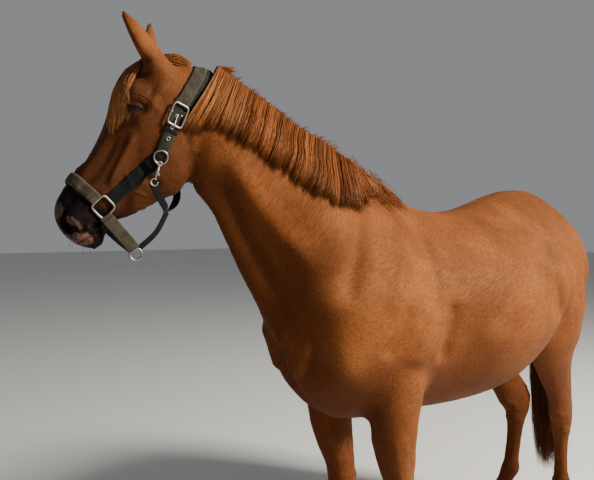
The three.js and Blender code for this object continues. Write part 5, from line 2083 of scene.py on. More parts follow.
    def feelers(self, skin: Skin, seed: int) -> Locks:
        """The long stiff hairs of the lips and the chin."""
        draw = np.random.default_rng(seed)
        head = NECK.off_head(skin.shell.points)
        normals = skin.shell.normals()
        ahead = (head[:, 1] > 545) & (head[:, 2] < -84) & (stroke_distance(head[:, 1:], MOUTH)[0] > 8)
        chosen = draw.choice(np.flatnonzero(ahead), self.whiskers)
        root, normal = skin.shell.points[chosen], normals[chosen]
        long = draw.uniform(14, 32, (self.whiskers, 1))
        bend = np.array([0, 0.1, -0.55])
        middle = root + normal * long * 0.5 + bend * long * 0.12
        paths = np.stack([root - normal, middle, root + normal * long * 0.85 + bend * long * 0.6], 1)
        widths = np.full((self.whiskers, 1), 0.75) * np.array([1.0, 0.8, 0.25])
        colours = np.tile(np.array(TONES.muzzle) * 2, (self.whiskers, 3, 1))
        out = np.repeat(unit(np.cross(normal, bend))[:, None], 3, axis=1)
        return Locks(paths, widths, out, colours, root[:, 1:])

    def ear_hair(self, ear: Ear, seed: int) -> Locks:
        """The hair along an ear's rims and inside it."""
        root, tip, out, tone = ear.hairs(seed, self.ear_hairs)
        far = np.linspace(0, 1, 4)[:, None]
        paths = root[:, None] + (tip - root)[:, None] * far + unit(out)[:, None] * 1.5 * far * (1 - far)
        widths = np.full((len(root), 1), 1.3) * np.array([1.0, 0.8, 0.5, 0.12])
        out, tone = (np.repeat(part[:, None], 4, axis=1) for part in (out, tone))
        return Locks(paths, widths, out, tone, np.stack([root[:, 2], root[:, 0]], -1))

    def build(self, skin: Skin) -> None:
        """Makes the tufts of the trunk, those of the edges, face and legs, the ears' hair and the feelers."""
        gloss = HairGloss("tuft_hair", 0.60).material()
        colour, bare = coat_colour(skin)
        dense, long, raised = self.sizes(skin, bare)
        sparse = (dense < 0.56) * dense
        for name, count, seed, share in (
            ("tufts_trunk", self.trunk, 71, sparse),
            ("tufts_edges", self.edges, 72, dense - 0.8 * sparse),
        ):
            self.grown(skin, count, seed, share, long, raised, colour).piece(name, gloss, "coat")
        for name, ear in EARS.items():
            self.ear_hair(ear, 73).piece(f"ear_hair_{name}", gloss, "coat")
        self.feelers(skin, 75).piece("feelers", gloss, "coat")


# ---------------------------------------------------------------- eyes
@dataclass
class Eyes:
    """Eyeballs set into the head, with lids that are part of the skin."""

    front: float = 20.0
    rear: float = 17.5
    upper: float = 6.2
    lower: float = 4.8
    lid_radius: float = 24.6
    ball_tone: Tone = (0.060, 0.030, 0.020)
    rim_tone: Tone = (0.012, 0.006, 0.004)
    iris_tone: Tone = (0.030, 0.012, 0.006)
    streak_tone: Tone = (0.075, 0.030, 0.012)

    def on_plane(self, along: Array, square: Array) -> tuple[Array, Array]:
        """Places on the lids' plane, in millimetres along the eye and square to it, as (down, above)."""
        c, s = math.cos(EYE.tilt), math.sin(EYE.tilt)
        return EYE.down + along * c - square * s, EYE.above + along * s + square * c

    def ball(self, side: int) -> tuple[Shell, Array]:
        """The eyeball with its cornea, and its colours.

        Radius 21 + 1.6 exp(-(a / 0.5)^2) at an angle a from the middle of the cornea.
        """
        polar = np.linspace(0.02, math.pi - 0.02, 60)[:, None]
        round_ = turns(80)[None, :]
        radius = EYE.radius + 1.6 * bell(polar, 0.5)
        along = radius * np.sin(polar) * np.cos(round_)
        square = radius * np.sin(polar) * np.sin(round_)
        out = radius * np.cos(polar) * np.ones_like(round_)
        down, above = self.on_plane(along, square)
        points = np.stack([side * (EYE.out + out), down, above], -1)
        shell = Shell.tube(NECK.on_head(points)).outwards()
        polar = np.append(np.broadcast_to(polar, along.shape).ravel(), [0, math.pi])
        along, square = np.append(along.ravel(), [0, 0]), np.append(square.ravel(), [0, 0])
        colour = repeated(self.ball_tone, len(polar))
        iris = 1 - step(polar, 0.62, 0.68)
        colour = mixed(colour, self.rim_tone, bell(polar - 0.66, 0.07))
        streak = 0.5 + 0.5 * np.sin(np.arctan2(square, along) * 34 + 3 * np.sin(polar * 20))
        tone = repeated(self.iris_tone, len(polar))
        tone = mixed(tone, self.streak_tone, streak * step(polar, 0.3, 0.6))
        colour = colour + (tone - colour) * iris[:, None]
        pupil = 1 - step(np.hypot(along / 9.5, square / 4.8), 0.85, 1.05)
        return shell, mixed(colour, (0.0015, 0.0015, 0.002), pupil * (polar < 1))

    def lids(self, side: int, tree: BVHTree) -> tuple[Shell, Array, Array]:
        """The lids as a closed ring of skin round the eye.

        Going out from the lids' edge, the skin is the higher of the bare head and a sphere over the eyeball,
        with two folds above the upper lid and one below the lower.

        Args:
            side: 1 for the left eye, -1 for the right.
            tree: the bare skin in head coordinates.

        Returns:
            The mesh, its colours and how bare it is.
        """
        around = 112
        angle = turns(around)[None, :]
        share = np.array(
            [0, 0.03, 0.07, 0.12, 0.17, 0.22, 0.27, 0.32, 0.38, 0.45, 0.53, 0.62, 0.72, 0.82, 0.91, 1.0]
        )[:, None]
        reach = np.where(np.cos(angle) > 0, self.front, self.rear)
        height = np.where(np.sin(angle) > 0, self.upper, self.lower)
        margin = np.stack(
            [reach * np.cos(angle), height * np.sign(np.sin(angle)) * np.abs(np.sin(angle)) ** 1.25], -1
        )
        border = np.stack([EYE.socket[0] * 1.03 * np.cos(angle), EYE.socket[1] * 1.03 * np.sin(angle)], -1)
        plane = margin + (border - margin) * share[..., None]
        gap = np.linalg.norm(plane - margin, axis=-1)
        down, above = self.on_plane(plane[..., 0], plane[..., 1])
        flat = np.stack([down, above], -1).reshape(-1, 2)
        hits = [tree.ray_cast(Vector((160.0, d, w)), Vector((-1.0, 0.0, 0.0)))[0] for d, w in flat.tolist()]
        bare = np.array([hit[0] if hit is not None else 60.0 for hit in hits]).reshape(gap.shape)
        off = (plane**2).sum(-1)
        over = EYE.out + np.sqrt(np.maximum(self.lid_radius**2 - off, 0))
        over = np.where(off < self.lid_radius**2, over, EYE.out)
        soft = 2.6
        height = soft * np.logaddexp(bare / soft - 0.6 * (1 - share), over / soft)
        height = height + (bare - height) * step(share, 0.45, 0.9)
        top = np.sin(angle) > 0
        arch = np.abs(np.sin(angle)) ** 0.5
        upper = -2.2 * bell(gap - 8.5, 2.0) - 0.6 * bell(gap - 14.5, 2.0) + 0.9 * bell(gap - 11.5, 2.0)
        lower = -1.6 * bell(gap - 7, 1.8) + 0.7 * bell(gap - 3.5, 2.0) - 0.9 * bell(gap - 12, 1.8)
        folds = np.where(top, upper, lower)
        height = height + folds * arch - 2.0 * step(share, 0.72, 1.0)
        outer = np.stack([height, down, above], -1)
        rolled = []
        for inwards, sink in ((0.3, 0.7), (0.9, 2.0), (1.3, 3.6)):
            edge = margin[0] - unit(margin[0]) * inwards
            ball = EYE.out + np.sqrt(np.maximum(EYE.radius**2 - (edge**2).sum(-1), 0))
            d, w = self.on_plane(edge[:, 0], edge[:, 1])
            lifted = np.maximum(height[0] - sink, ball - 0.8)
            rolled.append(np.stack([lifted, d, w], -1))
        back = [outer[k] - np.array([8.0, 0, 0]) for k in (15, 9, 4)]
        rings = np.concatenate([np.stack(rolled[::-1]), outer, np.stack(back)])
        points = rings * np.array([side, 1, 1])
        shell = Shell.torus(NECK.on_head(points)).outwards()
        whole = np.concatenate(
            [
                np.zeros((3, around)),
                np.broadcast_to(gap, share.shape[:1] + (around,)),
                np.full((3, around), 40.0),
            ]
        ).ravel()
        colour = repeated(TONES.coat, len(whole))
        # the painted shade of the face, round the eye
        colour = mixed(colour, TONES.face, 0.82 + 0.1 * (1 - step(whole, 6, 24)))
        colour = mixed(colour, TONES.muzzle, 0.95 * (1 - step(whole, 1.0, 5.5)))
        # painted shade in the folds of the lids, by their depth
        crease = np.concatenate(
            [np.zeros((3, around)), np.maximum(-folds * arch, 0), np.zeros((3, around))]
        ).ravel()
        # painted shade in the folds of the lids
        colour = mixed(colour, TONES.muzzle, 0.22 * crease)
        return shell, colour, 1 - step(whole, 2.0, 9.0)

    def lashes(self, side: int, seed: int) -> Locks:
        """Lashes on the upper lid, longest in the middle, lying out and down."""
        draw = np.random.default_rng(seed)
        count = 120
        angle = draw.uniform(0.35, 2.75, count)
        reach = np.where(np.cos(angle) > 0, self.front, self.rear)
        along, square = (
            reach * np.cos(angle), self.upper * np.abs(np.sin(angle)) ** 1.25 + draw.uniform(0, 1.2, count)
        )
        out = EYE.out + np.sqrt(self.lid_radius**2 - along**2 - square**2)
        length = draw.uniform(8, 15, count) * np.sin(angle)
        knots = []
        for far, fall, lift in ((0, 0, -0.6), (0.35, -0.05, 0.34), (0.7, -0.3, 0.6), (1.0, -0.62, 0.72)):
            down, above = self.on_plane(along * (1 + 0.25 * far), square + fall * length)
            knots.append(np.stack([side * (out + lift * length), down, above], -1))
        paths = Locks.along(np.stack(knots, 1), 5)
        widths = np.full((count, 1), 0.8) * np.array([1, 0.9, 0.7, 0.5, 0.15])
        colours = np.tile(np.array((0.10, 0.045, 0.022)), (count, 5, 1))
        normal = everywhere(paths, [0.5 * side, 0.0, 1.0])
        places = np.stack([angle, length], -1)
        return Locks.laid(NECK.on_head, paths, widths, normal, colours, places)

    def finish(self) -> bpy.types.Material:
        """A wet dark eye."""
        nodes = NodeSet("eye_surface")
        fleck = nodes.noise(nodes.place(), 900.0, 2.0)
        return nodes.dress(
            Base_Color=nodes.varied(0.5, nodes.attribute("coat", "Color"), fleck, 0.7, 1.3),
            Roughness=fleck * 0.04 + 0.05,
            Specular_IOR_Level=0.4,
            Coat_Weight=0.3,
            Coat_Roughness=0.05,
            Normal=nodes.bump(fleck, 0.00005, 0.3),
        )

    def build(self) -> None:
        """Makes both eyeballs and the lashes."""
        finish, gloss = self.finish(), HairGloss("lash_hair", 0.5).material()
        for name, side in (("left", 1), ("right", -1)):
            shell, colour = self.ball(side)
            new_piece(f"eyeball_{name}", shell, finish, [f"eye_{name}"], {"coat": colour})
            self.lashes(side, 60 + side).piece(f"lashes_{name}", gloss, "coat")


# ---------------------------------------------------------------- hooves
@dataclass
class Hooves:
    """Four hooves with growth rings, rounded heels and a flat sole."""

    fore: tuple[tuple[float, ...], ...] = (
        (-589, 92.4, -498, 72.6, 48, 52, 44, 2.2, 108),
        (-611, 48, -496, 34, 54, 59, 50, 2.2, 108),
        (-634, 0, -495, 0, 61, 67, 56, 2.2, 108),
    )
    hind: tuple[tuple[float, ...], ...] = (
        (614, 94.5, 704, 74.8, 46, 50, 42, 2.2, 120),
        (592, 48, 705, 34, 50, 55, 46, 2.2, 120),
        (570, 0, 706, 0, 55, 62, 52, 2.2, 120),
    )
    rings: float = 26.0

    def shell(self, limb: Limb) -> tuple[Shell, Array]:
        """A hoof: its loft, with rings of about 0.5 mm, a rounded edge at the ground and a cleft behind."""
        loft = Loft(self.fore if limb.is_fore else self.hind)
        t = np.concatenate([np.linspace(0, 0.97, 64), [0.985, 0.995, 1.0]])[:, None]
        angle = turns(96)[None, :]
        points = loft.surface(t, angle)
        heart = points.mean(1, keepdims=True)
        wave = np.sin(t * self.rings + 0.5 * np.cos(angle)) + 0.6 * np.sin(t * self.rings * 2.3 + 1)
        heel = (1 - np.cos(angle)) / 2
        cleft = -9 * bell(angle - math.pi, 0.2) * step(heel, 0.9, 1)
        push = 0.45 * wave * (1 - 0.6 * heel) * step(t, 0.05, 0.2) + 2.2 * bell(t, 0.07) + cleft
        push = push - 1.6 * step(t, 0.97, 1.0)
        away = unit((points - heart) * np.array([1, 1, 0]))
        points = points + away * push[..., None]
        points[..., 2] = np.maximum(points[..., 2], 0)
        points[-3:, :, 2] = np.array([[1.0], [0.25], [0.0]])
        shell = Shell.tube(limb.value.pose(points)).outwards()
        t, angle, wave = np.broadcast_arrays(t, angle, wave)
        t, wave = np.append(t.ravel(), [0, 1]), np.append(wave.ravel(), [0, 0])
        colour = repeated(TONES.horn, len(t))
        colour = mixed(colour, TONES.horn_dark, 0.35 + 0.25 * wave)
        colour = mixed(colour, TONES.horn_pale, 0.6 * (1 - step(t, 0.02, 0.12)) + 0.25 * step(t, 0.85, 1))
        return shell, colour

    def finish(self) -> bpy.types.Material:
        """Horn: fine tubules from the coronet to the ground, dusty and dull."""
        nodes = NodeSet("horn_surface")
        place = nodes.place()
        grain = nodes.noise(nodes.mapped(place, (900.0, 900.0, 40.0)), 1.0)
        dust = nodes.noise(place, 38.0, 4.0)
        colour = nodes.varied(0.6, nodes.attribute("coat", "Color"), grain, 0.65, 1.3)
        colour = nodes.mix(dust.between(0.45, 0.8) * 0.5, colour, (0.30, 0.25, 0.20))
        return nodes.dress(
            Base_Color=colour, Roughness=dust * 0.25 + 0.38, Normal=nodes.bump(grain, 0.0005, 0.5)
        )

    def build(self) -> None:
        """Makes the four hooves."""
        finish = self.finish()
        for limb in Limb:
            shell, colour = self.shell(limb)
            new_piece(f"horn_{limb.node}", shell, finish, [f"hoof_{limb.node}"], {"coat": colour})


# ---------------------------------------------------------------- headcollar
@dataclass(frozen=True)
class Webbing:
    """Woven strap: ribs across it, stitching along its edges, worn and dusty."""

    name: str
    tone: tuple[float, float, float]
    thread: tuple[float, float, float]
    dust: tuple[float, float, float] = (0.14, 0.12, 0.085)
    worn: float = 0.35
    half_width: float = 0.019
    rib: float = 0.0016
    stitch: float = 0.0052

    def material(self) -> bpy.types.Material:
        """The webbing's material, on its own UV map in metres: u across the strap, v along it."""
        nodes = NodeSet(self.name)
        uv = nodes.add("ShaderNodeUVMap", {"uv_map": "weave"}, {})
        across = nodes.add("ShaderNodeSeparateXYZ", {}, [uv], "X")
        along = nodes.add("ShaderNodeSeparateXYZ", {}, [uv], "Y")
        turn = FULL_TURN / self.rib
        warp = across.wave(turn * 0.5)
        ribs = (along + warp * (0.18 * self.rib)).wave(turn)
        weave = ribs * 0.6 + (across + along * 0.5).wave(turn * 1.1) * 0.4
        edge = across.size() / self.half_width
        stitches = (along.wave(FULL_TURN / self.stitch) * 2.5 + 0.6).clamped()
        seam = (1 - ((edge - 0.78).size() * 18.0).clamped()) * stitches
        place = nodes.place()
        grime = nodes.noise(place, 45.0, 5.0, 0.62)
        fuzz = nodes.noise(place, 700.0, 2.0)
        colour = nodes.mix(0.5 - weave * 0.35, self.tone, tuple(0.45 * c for c in self.tone))
        dusty = ((grime - 0.42) * 2.6).clamped() * self.worn + edge.between(0.86, 1.0) * 0.25
        colour = nodes.mix(dusty, colour, self.dust)
        colour = nodes.mix(seam * 0.8, colour, self.thread)
        height = weave * 0.5 + seam * 0.7 + fuzz * 0.25
        return nodes.dress(
            Base_Color=colour,
            Roughness=grime * 0.2 + 0.70,
            Specular_IOR_Level=0.1,
            Sheen_Weight=0.015,
            Sheen_Roughness=0.5,
            Normal=nodes.bump(height, 0.0005, 0.8),
        )


@dataclass(frozen=True)
class Metal:
    """Plated fittings, dulled and scratched by use."""

    name: str = "plated_metal"
    tone: tuple[float, float, float] = (0.30, 0.275, 0.235)

    def material(self) -> bpy.types.Material:
        """The metal's material."""
        nodes = NodeSet(self.name)
        place = nodes.place()
        scratch = nodes.noise(nodes.mapped(place, (900.0, 120.0, 900.0), (0.4, 0.3, 0)), 1.0)
        dull = nodes.noise(place, 60.0, 4.0)
        colour = nodes.mix(dull.between(0.35, 0.75) * 0.7, self.tone, (0.15, 0.13, 0.105))
        return nodes.dress(
            Base_Color=colour,
            Metallic=1.0,
            Roughness=dull * 0.3 + scratch * 0.12 + 0.16,
            Normal=nodes.bump(scratch + dull * 0.5, 0.00015, 0.5),
        )


@dataclass(frozen=True)
class Padding:
    """Soft black lining with a fine pile."""

    name: str = "strap_lining"

    def material(self) -> bpy.types.Material:
        """The lining's material."""
        nodes = NodeSet(self.name)
        place = nodes.place()
        pile = nodes.noise(place, 650.0, 3.0)
        dust = nodes.noise(place, 40.0, 4.0)
        colour = nodes.mix(dust.between(0.5, 0.8) * 0.3, (0.012, 0.012, 0.013), (0.10, 0.085, 0.065))
        return nodes.dress(
            Base_Color=colour,
            Roughness=pile * 0.1 + 0.85,
            Specular_IOR_Level=0.1,
            Sheen_Weight=0.05,
            Normal=nodes.bump(pile, 0.0009, 0.7),
        )


@dataclass(frozen=True)
class Patch:
    """A strip of the head's surface: points (along, across) and outward directions, in head coordinates."""

    points: Array
    normals: Array

    def lifted(self, lift: float, thickness: float, width: float) -> tuple[Shell, Array]:
        """A closed band on the strip, with the weave's UV places.

        Across the band, b from -1 to 1, the outer face is lift + thickness (1 - 0.75 b^8)
        out and the inner lift.
        """
        across = self.points.shape[1]
        b = np.linspace(-1, 1, across)
        rise = lift + thickness * (1 - 0.75 * b**8)
        outer = self.points + self.normals * rise[:, None]
        inner = self.points + self.normals * lift
        rings = np.concatenate([outer, inner[:, ::-1]], 1)
        length = run_lengths(self.points[:, across // 2]) * MM
        u = np.concatenate([b, b[::-1]]) * width * MM / 2
        uv = np.stack(np.broadcast_arrays(u[None, :], length[:, None]), -1).reshape(-1, 2)
        uv = np.vstack([uv, [[0, 0], [0, length[-1]]]])
        return Shell.tube(NECK.on_head(rings)).outwards(), uv


@dataclass
class HeadSurface:
    """The head in its own coordinates, for laying straps on."""

    tree: BVHTree

    def strip(self, starts: Array, ways: Array, rounds: int = 6) -> Patch:
        """Casts rays and smooths how far they go, as a tight strap bridges hollows.

        Args:
            starts: (along, across, 3) starts.
            ways: their directions, of length one.
            rounds: rounds of smoothing along the strap.

        Returns:
            The strip.
        """
        shape = starts.shape[:2]
        far = np.full(shape, np.nan)
        for i in range(shape[0]):
            for j in range(shape[1]):
                hit = self.tree.ray_cast(Vector(starts[i, j].tolist()), Vector(ways[i, j].tolist()))
                if hit[0] is not None:
                    far[i, j] = hit[3]
        for j in range(shape[1]):
            good = ~np.isnan(far[:, j])
            far[:, j] = (
                np.interp(np.arange(shape[0]), np.arange(shape[0])[good], far[good, j]) if good.any() else 0
            )
        raw = far.copy()
        for _ in range(rounds):
            padded = np.pad(far, ((1, 1), (1, 1)), mode="edge")
            mean = (padded[:-2, 1:-1] + padded[2:, 1:-1] + padded[1:-1, :-2] + padded[1:-1, 2:]) / 4
            far = np.minimum(0.5 * far + 0.5 * mean, raw)
        points = starts + ways * far[..., None]
        normals = unit(np.cross(np.gradient(points, axis=0), np.gradient(points, axis=1)))
        flip = np.sign(-(normals * ways).sum(-1, keepdims=True))
        return Patch(points, normals * np.where(flip == 0, 1, flip))

    def aside(
        self,
        side: int,
        start: Sequence[float],
        end: Sequence[float],
        width: float,
        count: int = 60,
        across: int = 11,
    ) -> Patch:
        """A strip along a line of the side view, (down, above) to (down, above)."""
        start, end = np.array(start, float), np.array(end, float)
        along = unit(end - start)
        beside = np.array([-along[1], along[0]])
        share, b = np.linspace(0, 1, count), np.linspace(-0.5, 0.5, across)
        flat = start + (end - start) * share[:, None, None] + beside * b[None, :, None] * width
        starts = np.concatenate([np.full((count, across, 1), side * 220.0), flat], -1)
        return self.strip(starts, everywhere(starts, [-float(side), 0, 0]))

    def hoop(
        self,
        centre: Sequence[float],
        up: Sequence[float],
        width: float,
        angles: Sequence[float],
        shift: float = 0.0,
        count: int = 110,
        across: int = 11,
    ) -> Patch:
        """A strip round the head in a plane through x, from angle to angle about a centre (down, above)."""
        up = unit(np.array(up, float))
        beside = np.array([0.0, -up[1], up[0]])
        angle, b = np.radians(np.linspace(*angles, count)), np.linspace(-0.5, 0.5, across)
        ways = np.stack(
            [np.cos(angle), np.sin(angle) * up[0], np.sin(angle) * up[1]], -1
        )[:, None] * np.ones((1, across, 1))
        starts = np.array([0.0, *centre]) + beside * (b[None, :, None] * width + shift) + ways * 320.0
        return self.strip(starts, -ways)

    def frame(
        self, side: int, down: float, above: float, along: Sequence[float]
    ) -> tuple[Array, Array, Array, Array]:
        """A place on the surface: its point, and the directions along a line, across it and outwards."""
        flat = unit(np.array(along, float))
        patch = self.aside(
            side,
            (down - 14 * flat[0], above - 14 * flat[1]),
            (down + 14 * flat[0], above + 14 * flat[1]),
            30,
            5,
            5,
        )
        out = unit(patch.normals.mean((0, 1)))
        way = np.array([0.0, *flat])
        way = unit(way - out * (way @ out))
        return patch.points[2, 2], way, np.cross(out, way), out


def wire(path: Array, radius: float | Array, closed: bool = True, sides: int = 12) -> Shell:
    """Round wire along a path in head coordinates: p + r (n cos a + b sin a)."""
    along = np.roll(path, -1, axis=0) - np.roll(path, 1, axis=0) if closed else np.gradient(path, axis=0)
    along = unit(along)
    spare = unit(path - path.mean(0)) if closed else everywhere(path, [0.3, 0.2, 0.93])
    normal = unit(spare - along * (spare * along).sum(-1, keepdims=True))
    beside = np.cross(along, normal)
    angle = turns(sides)
    radius = np.broadcast_to(np.asarray(radius, float), len(path))[:, None, None]
    points = (
        path[:, None]
        + radius * (normal[:, None] * np.cos(angle)[:, None] + beside[:, None] * np.sin(angle)[:, None])
    )
    if not closed:
        return Shell.tube(NECK.on_head(points)).outwards()
    return Shell.torus(NECK.on_head(points)).outwards()


def sweep(
    line: Sequence[Sequence[float]],
    face: Callable[[Array], Array],
    width: float,
    thickness: float,
    count: int = 60,
) -> tuple[Shell, Array]:
    """A strap along a smooth line in head coordinates, with a rounded-oblong section.

    Its section is (w/2 sgn(cos a) |cos a|^0.4, t/2 sgn(sin a) |sin a|^0.6).

    Args:
        line: the corners of the line.
        face: which way the flat faces, as a function of the share of the length.
        width: width of the strap.
        thickness: its thickness.
        count: stations along it.

    Returns:
        The strap and the weave's UV places.
    """
    share = np.linspace(0, 1, count)
    path = catmull_rom(np.array(line, float), share)
    along = unit(np.gradient(path, axis=0))
    across = unit(np.cross(along, face(share)))
    normal = np.cross(across, along)
    angle = turns(24)
    a = np.sign(np.cos(angle)) * np.abs(np.cos(angle)) ** 0.4 * width / 2
    b = np.sign(np.sin(angle)) * np.abs(np.sin(angle)) ** 0.6 * thickness / 2
    points = path[:, None] + across[:, None] * a[:, None] + normal[:, None] * b[:, None]
    length = run_lengths(path) * MM
    uv = np.stack(np.broadcast_arrays(a[None, :] * MM, length[:, None]), -1).reshape(-1, 2)
    return Shell.tube(NECK.on_head(points)).outwards(), np.vstack([uv, [[0, 0], [0, length[-1]]]])


@dataclass
class Headcollar:
    """A webbing headcollar: padded crownpiece and noseband, cheekpieces, lower straps and metal fittings."""

    width: float = 38.0
    nose_width: float = 32.0
    thickness: float = 4.2
    lining: float = 3.4
    crown_above: float = -119.0
    nose_line: tuple[float, float] = (-27.8, 123.6)
    nose_centre: tuple[float, float] = (496.0, -54.0)
    ring_at: tuple[float, float] = (507.0, -104.0)
    ring_size: float = 54.0
    chin: tuple[float, float, float] = (0.0, 562.0, -256.0)
    throat: tuple[float, float, float] = (0.0, 417.0, -262.0)

    def strap(
        self, name: str, made: tuple[Shell, Array], finish: bpy.types.Material, replaces: Sequence[str] = ()
    ) -> None:
        """Puts a strap into the scene."""
        shell, uv = made
        new_piece(name, shell, finish, replaces, maps={"weave": uv})

    def fitting(self, name: str, shells: Sequence[Shell], replaces: Sequence[str] = ()) -> None:
        """Puts metal fittings into the scene as one piece."""
        new_piece(name, Shell.joined(shells), self.metal, replaces)

    def oblong(
        self,
        frame: tuple[Array, ...],
        length: float,
        width: float,
        lift: float,
        count: int = 72,
        power: float = 5,
    ) -> Array:
        """A closed rounded-oblong path in a frame, |a / l|^p + |b / w|^p = 1."""
        point, along, across, out = frame
        angle = turns(count)
        c, s = np.cos(angle), np.sin(angle)
        reach = (np.abs(c) ** power + np.abs(s) ** power) ** (-1 / power)
        a, b = c * reach * length / 2, s * reach * width / 2
        return point + a[:, None] * along + b[:, None] * across + out * lift

    def eyelet(self, frame: tuple[Array, ...], lift: float, radius: float = 4.6) -> list[Shell]:
        """The metal rim of a hole in the strap."""
        return [wire(self.oblong(frame, 2 * radius, 2 * radius, lift, 28, 2), 1.5, True, 8)]

    def crown(self, surface: HeadSurface) -> None:
        """The crownpiece over its wider lining, and the upper cheekpieces that hang from it."""
        up = (-1.0, 0.0)
        lining = surface.hoop((80, self.crown_above), up, 56, (-46, 226), 10.0)
        new_piece("crown_lining", lining.lifted(0.6, self.lining, 56)[0], self.lining_finish)
        top = surface.hoop((80, self.crown_above), up, self.width, (-44, 224))
        self.strap(
            "crown_strap",
            top.lifted(0.6 + self.lining, self.thickness, self.width),
            self.olive,
            ["headcollar_crownpiece"],
        )
        for name, side in (("left", 1), ("right", -1)):
            upper = surface.aside(side, (336, -156), (150, -113), self.width - 3)
            self.strap(
                f"cheek_upper_{name}",
                upper.lifted(0.8 + self.lining * 0.5, self.thickness, self.width - 3),
                self.olive_dark,
            )
            lower = surface.aside(side, (486, -110), (318, -150), self.width)
            self.strap(
                f"cheek_lower_{name}",
                lower.lifted(0.9, self.thickness, self.width),
                self.black,
                [f"headcollar_cheekpiece_{name}"],
            )
            turned = surface.aside(side, (352, -142.0), (312, -151.5), self.width + 1, 14)
            self.strap(f"cheek_fold_{name}", turned.lifted(4.6, 3.4, self.width + 1), self.black)
            keeper = surface.aside(side, (246, -135.6), (236, -133.2), self.width + 5, 10)
            self.strap(f"strap_keeper_{name}", keeper.lifted(5.0, 3.4, self.width + 5), self.black)

    def nose(self, surface: HeadSurface) -> None:
        """The noseband over its lining."""
        lining = surface.hoop(self.nose_centre, self.nose_line, 35, (-22, 202))
        new_piece("nose_lining", lining.lifted(0.4, self.lining, 35)[0], self.lining_finish)
        band = surface.hoop(self.nose_centre, self.nose_line, self.nose_width, (-26, 206))
        self.strap(
            "nose_strap",
            band.lifted(0.4 + self.lining, self.thickness, self.nose_width),
            self.khaki,
            ["headcollar_noseband"],
        )
        for name, side in (("left", 1), ("right", -1)):
            angles = (-26, -2) if side > 0 else (182, 206)
            turned = surface.hoop(self.nose_centre, self.nose_line, self.nose_width + 1, angles, 0.0, 16)
            self.strap(
                f"nose_fold_{name}",
                turned.lifted(0.4 + self.lining + self.thickness * 0.9, 3.0, self.nose_width + 1),
                self.khaki,
            )

    def under(self) -> None:
        """The chin straps, the link strap and the throat strap."""
        for name, side, finish in (("left", 1, self.khaki), ("right", -1, self.black)):
            path = [
                (side * 57, 524, -122),
                (side * 56, 528, -131),
                (side * 49, 537, -170),
                (side * 30, 547, -214),
                (side * 6.5, 552, -244),
            ]

            def face(share: Array, side: int = side) -> Array:
                """Outwards, a little back and down, all along."""
                return repeated([side, 0.25, -0.25], len(share))

            self.strap(
                f"chin_strap_{name}", sweep(path, face, 33, 4.4), finish, [f"headcollar_chin_strap_{name}"]
            )
            fold = [path[1], (side * 54.5, 531, -142), (side * 50.5, 535, -160)]
            shifted = [(x + side * 3.8, y, z) for x, y, z in fold]
            self.strap(f"chin_fold_{name}", sweep(shifted, face, 34, 3.2, 20), finish)
        link = [(0, 543, -255), (0, 480, -271), (0, self.throat[1] - 3, self.throat[2] - 4)]
        self.strap("link_strap", sweep(link, lambda share: repeated([0.8, 0, -0.6], len(share)), 21, 4.0),
                   self.black, ["headcollar_link_strap"])
        throat = [
            (82, 384, -172),
            (74, 402, -205),
            (44, 414, -246),
            self.throat,
            (-40, 392, -280),
            (-68, 350, -284),
            (-88, 306, -262),
        ]

        def face(share: Array) -> Array:
            """Out to the left at the start, down in the middle and out to the right at the end."""
            return np.stack([np.cos(np.pi * share), np.zeros_like(share), -np.sin(np.pi * share)], -1)

        self.strap("throat_strap", sweep(throat, face, 22, 4.2, 90), self.black, ["headcollar_throat_strap"])

    def fittings(self, surface: HeadSurface) -> None:
        """The square rings, the chin ring, the buckle, the eyelets, the round ring and the snap."""
        for name, side in (("left", 1), ("right", -1)):
            frame = surface.frame(side, *self.ring_at, (10.4, -50.4))
            square = self.oblong(frame, self.ring_size - 6, self.ring_size - 6, 6.0)
            self.fitting(f"square_ring_{name}", [wire(square, 3.5)], [f"headcollar_ring_{name}"])
            ring_frame = surface.frame(side, 312, -152, (1.0, -0.23))
            shells = [wire(self.oblong(ring_frame, 37, 37, 9.5, 64, 2), 2.7)]
            for at in ((262, -139.0), (230, -131.6), (197, -124.0)):
                shells += self.eyelet(surface.frame(side, *at, (1.0, -0.23)), 7.4)
            self.fitting(f"cheek_fittings_{name}", shells)
        frame = surface.frame(1, 193, -124.2, (1.0, -0.2))
        lift = 11.0
        point, along, across, out = frame
        bars = [wire(self.oblong(frame, 62, 44, lift, 88, 7), 3.3)]
        bar = point + np.linspace(-20, 20, 20)[:, None] * across + out * 3.4 - along * 4
        bars.append(wire(bar, 2.6, False))
        tongue = np.array([(-3, -3.4), (6, -1.6), (18, 0.6), (31, 3.6)])
        tongue = catmull_rom(tongue, np.linspace(0, 1, 20))
        bars.append(wire(point + tongue[:, :1] * along + out * (lift + tongue[:, 1:]), 1.7, False))
        self.fitting("crown_buckle", bars, ["headcollar_buckle"])
        chin = np.array(self.chin)
        angle = turns(64)
        circle = chin + 17 * np.stack([np.zeros(64), np.cos(angle), np.sin(angle)], -1)
        self.fitting("chin_ring", [wire(circle, 3.2)], ["headcollar_chin_ring"])
        self.snap(surface)

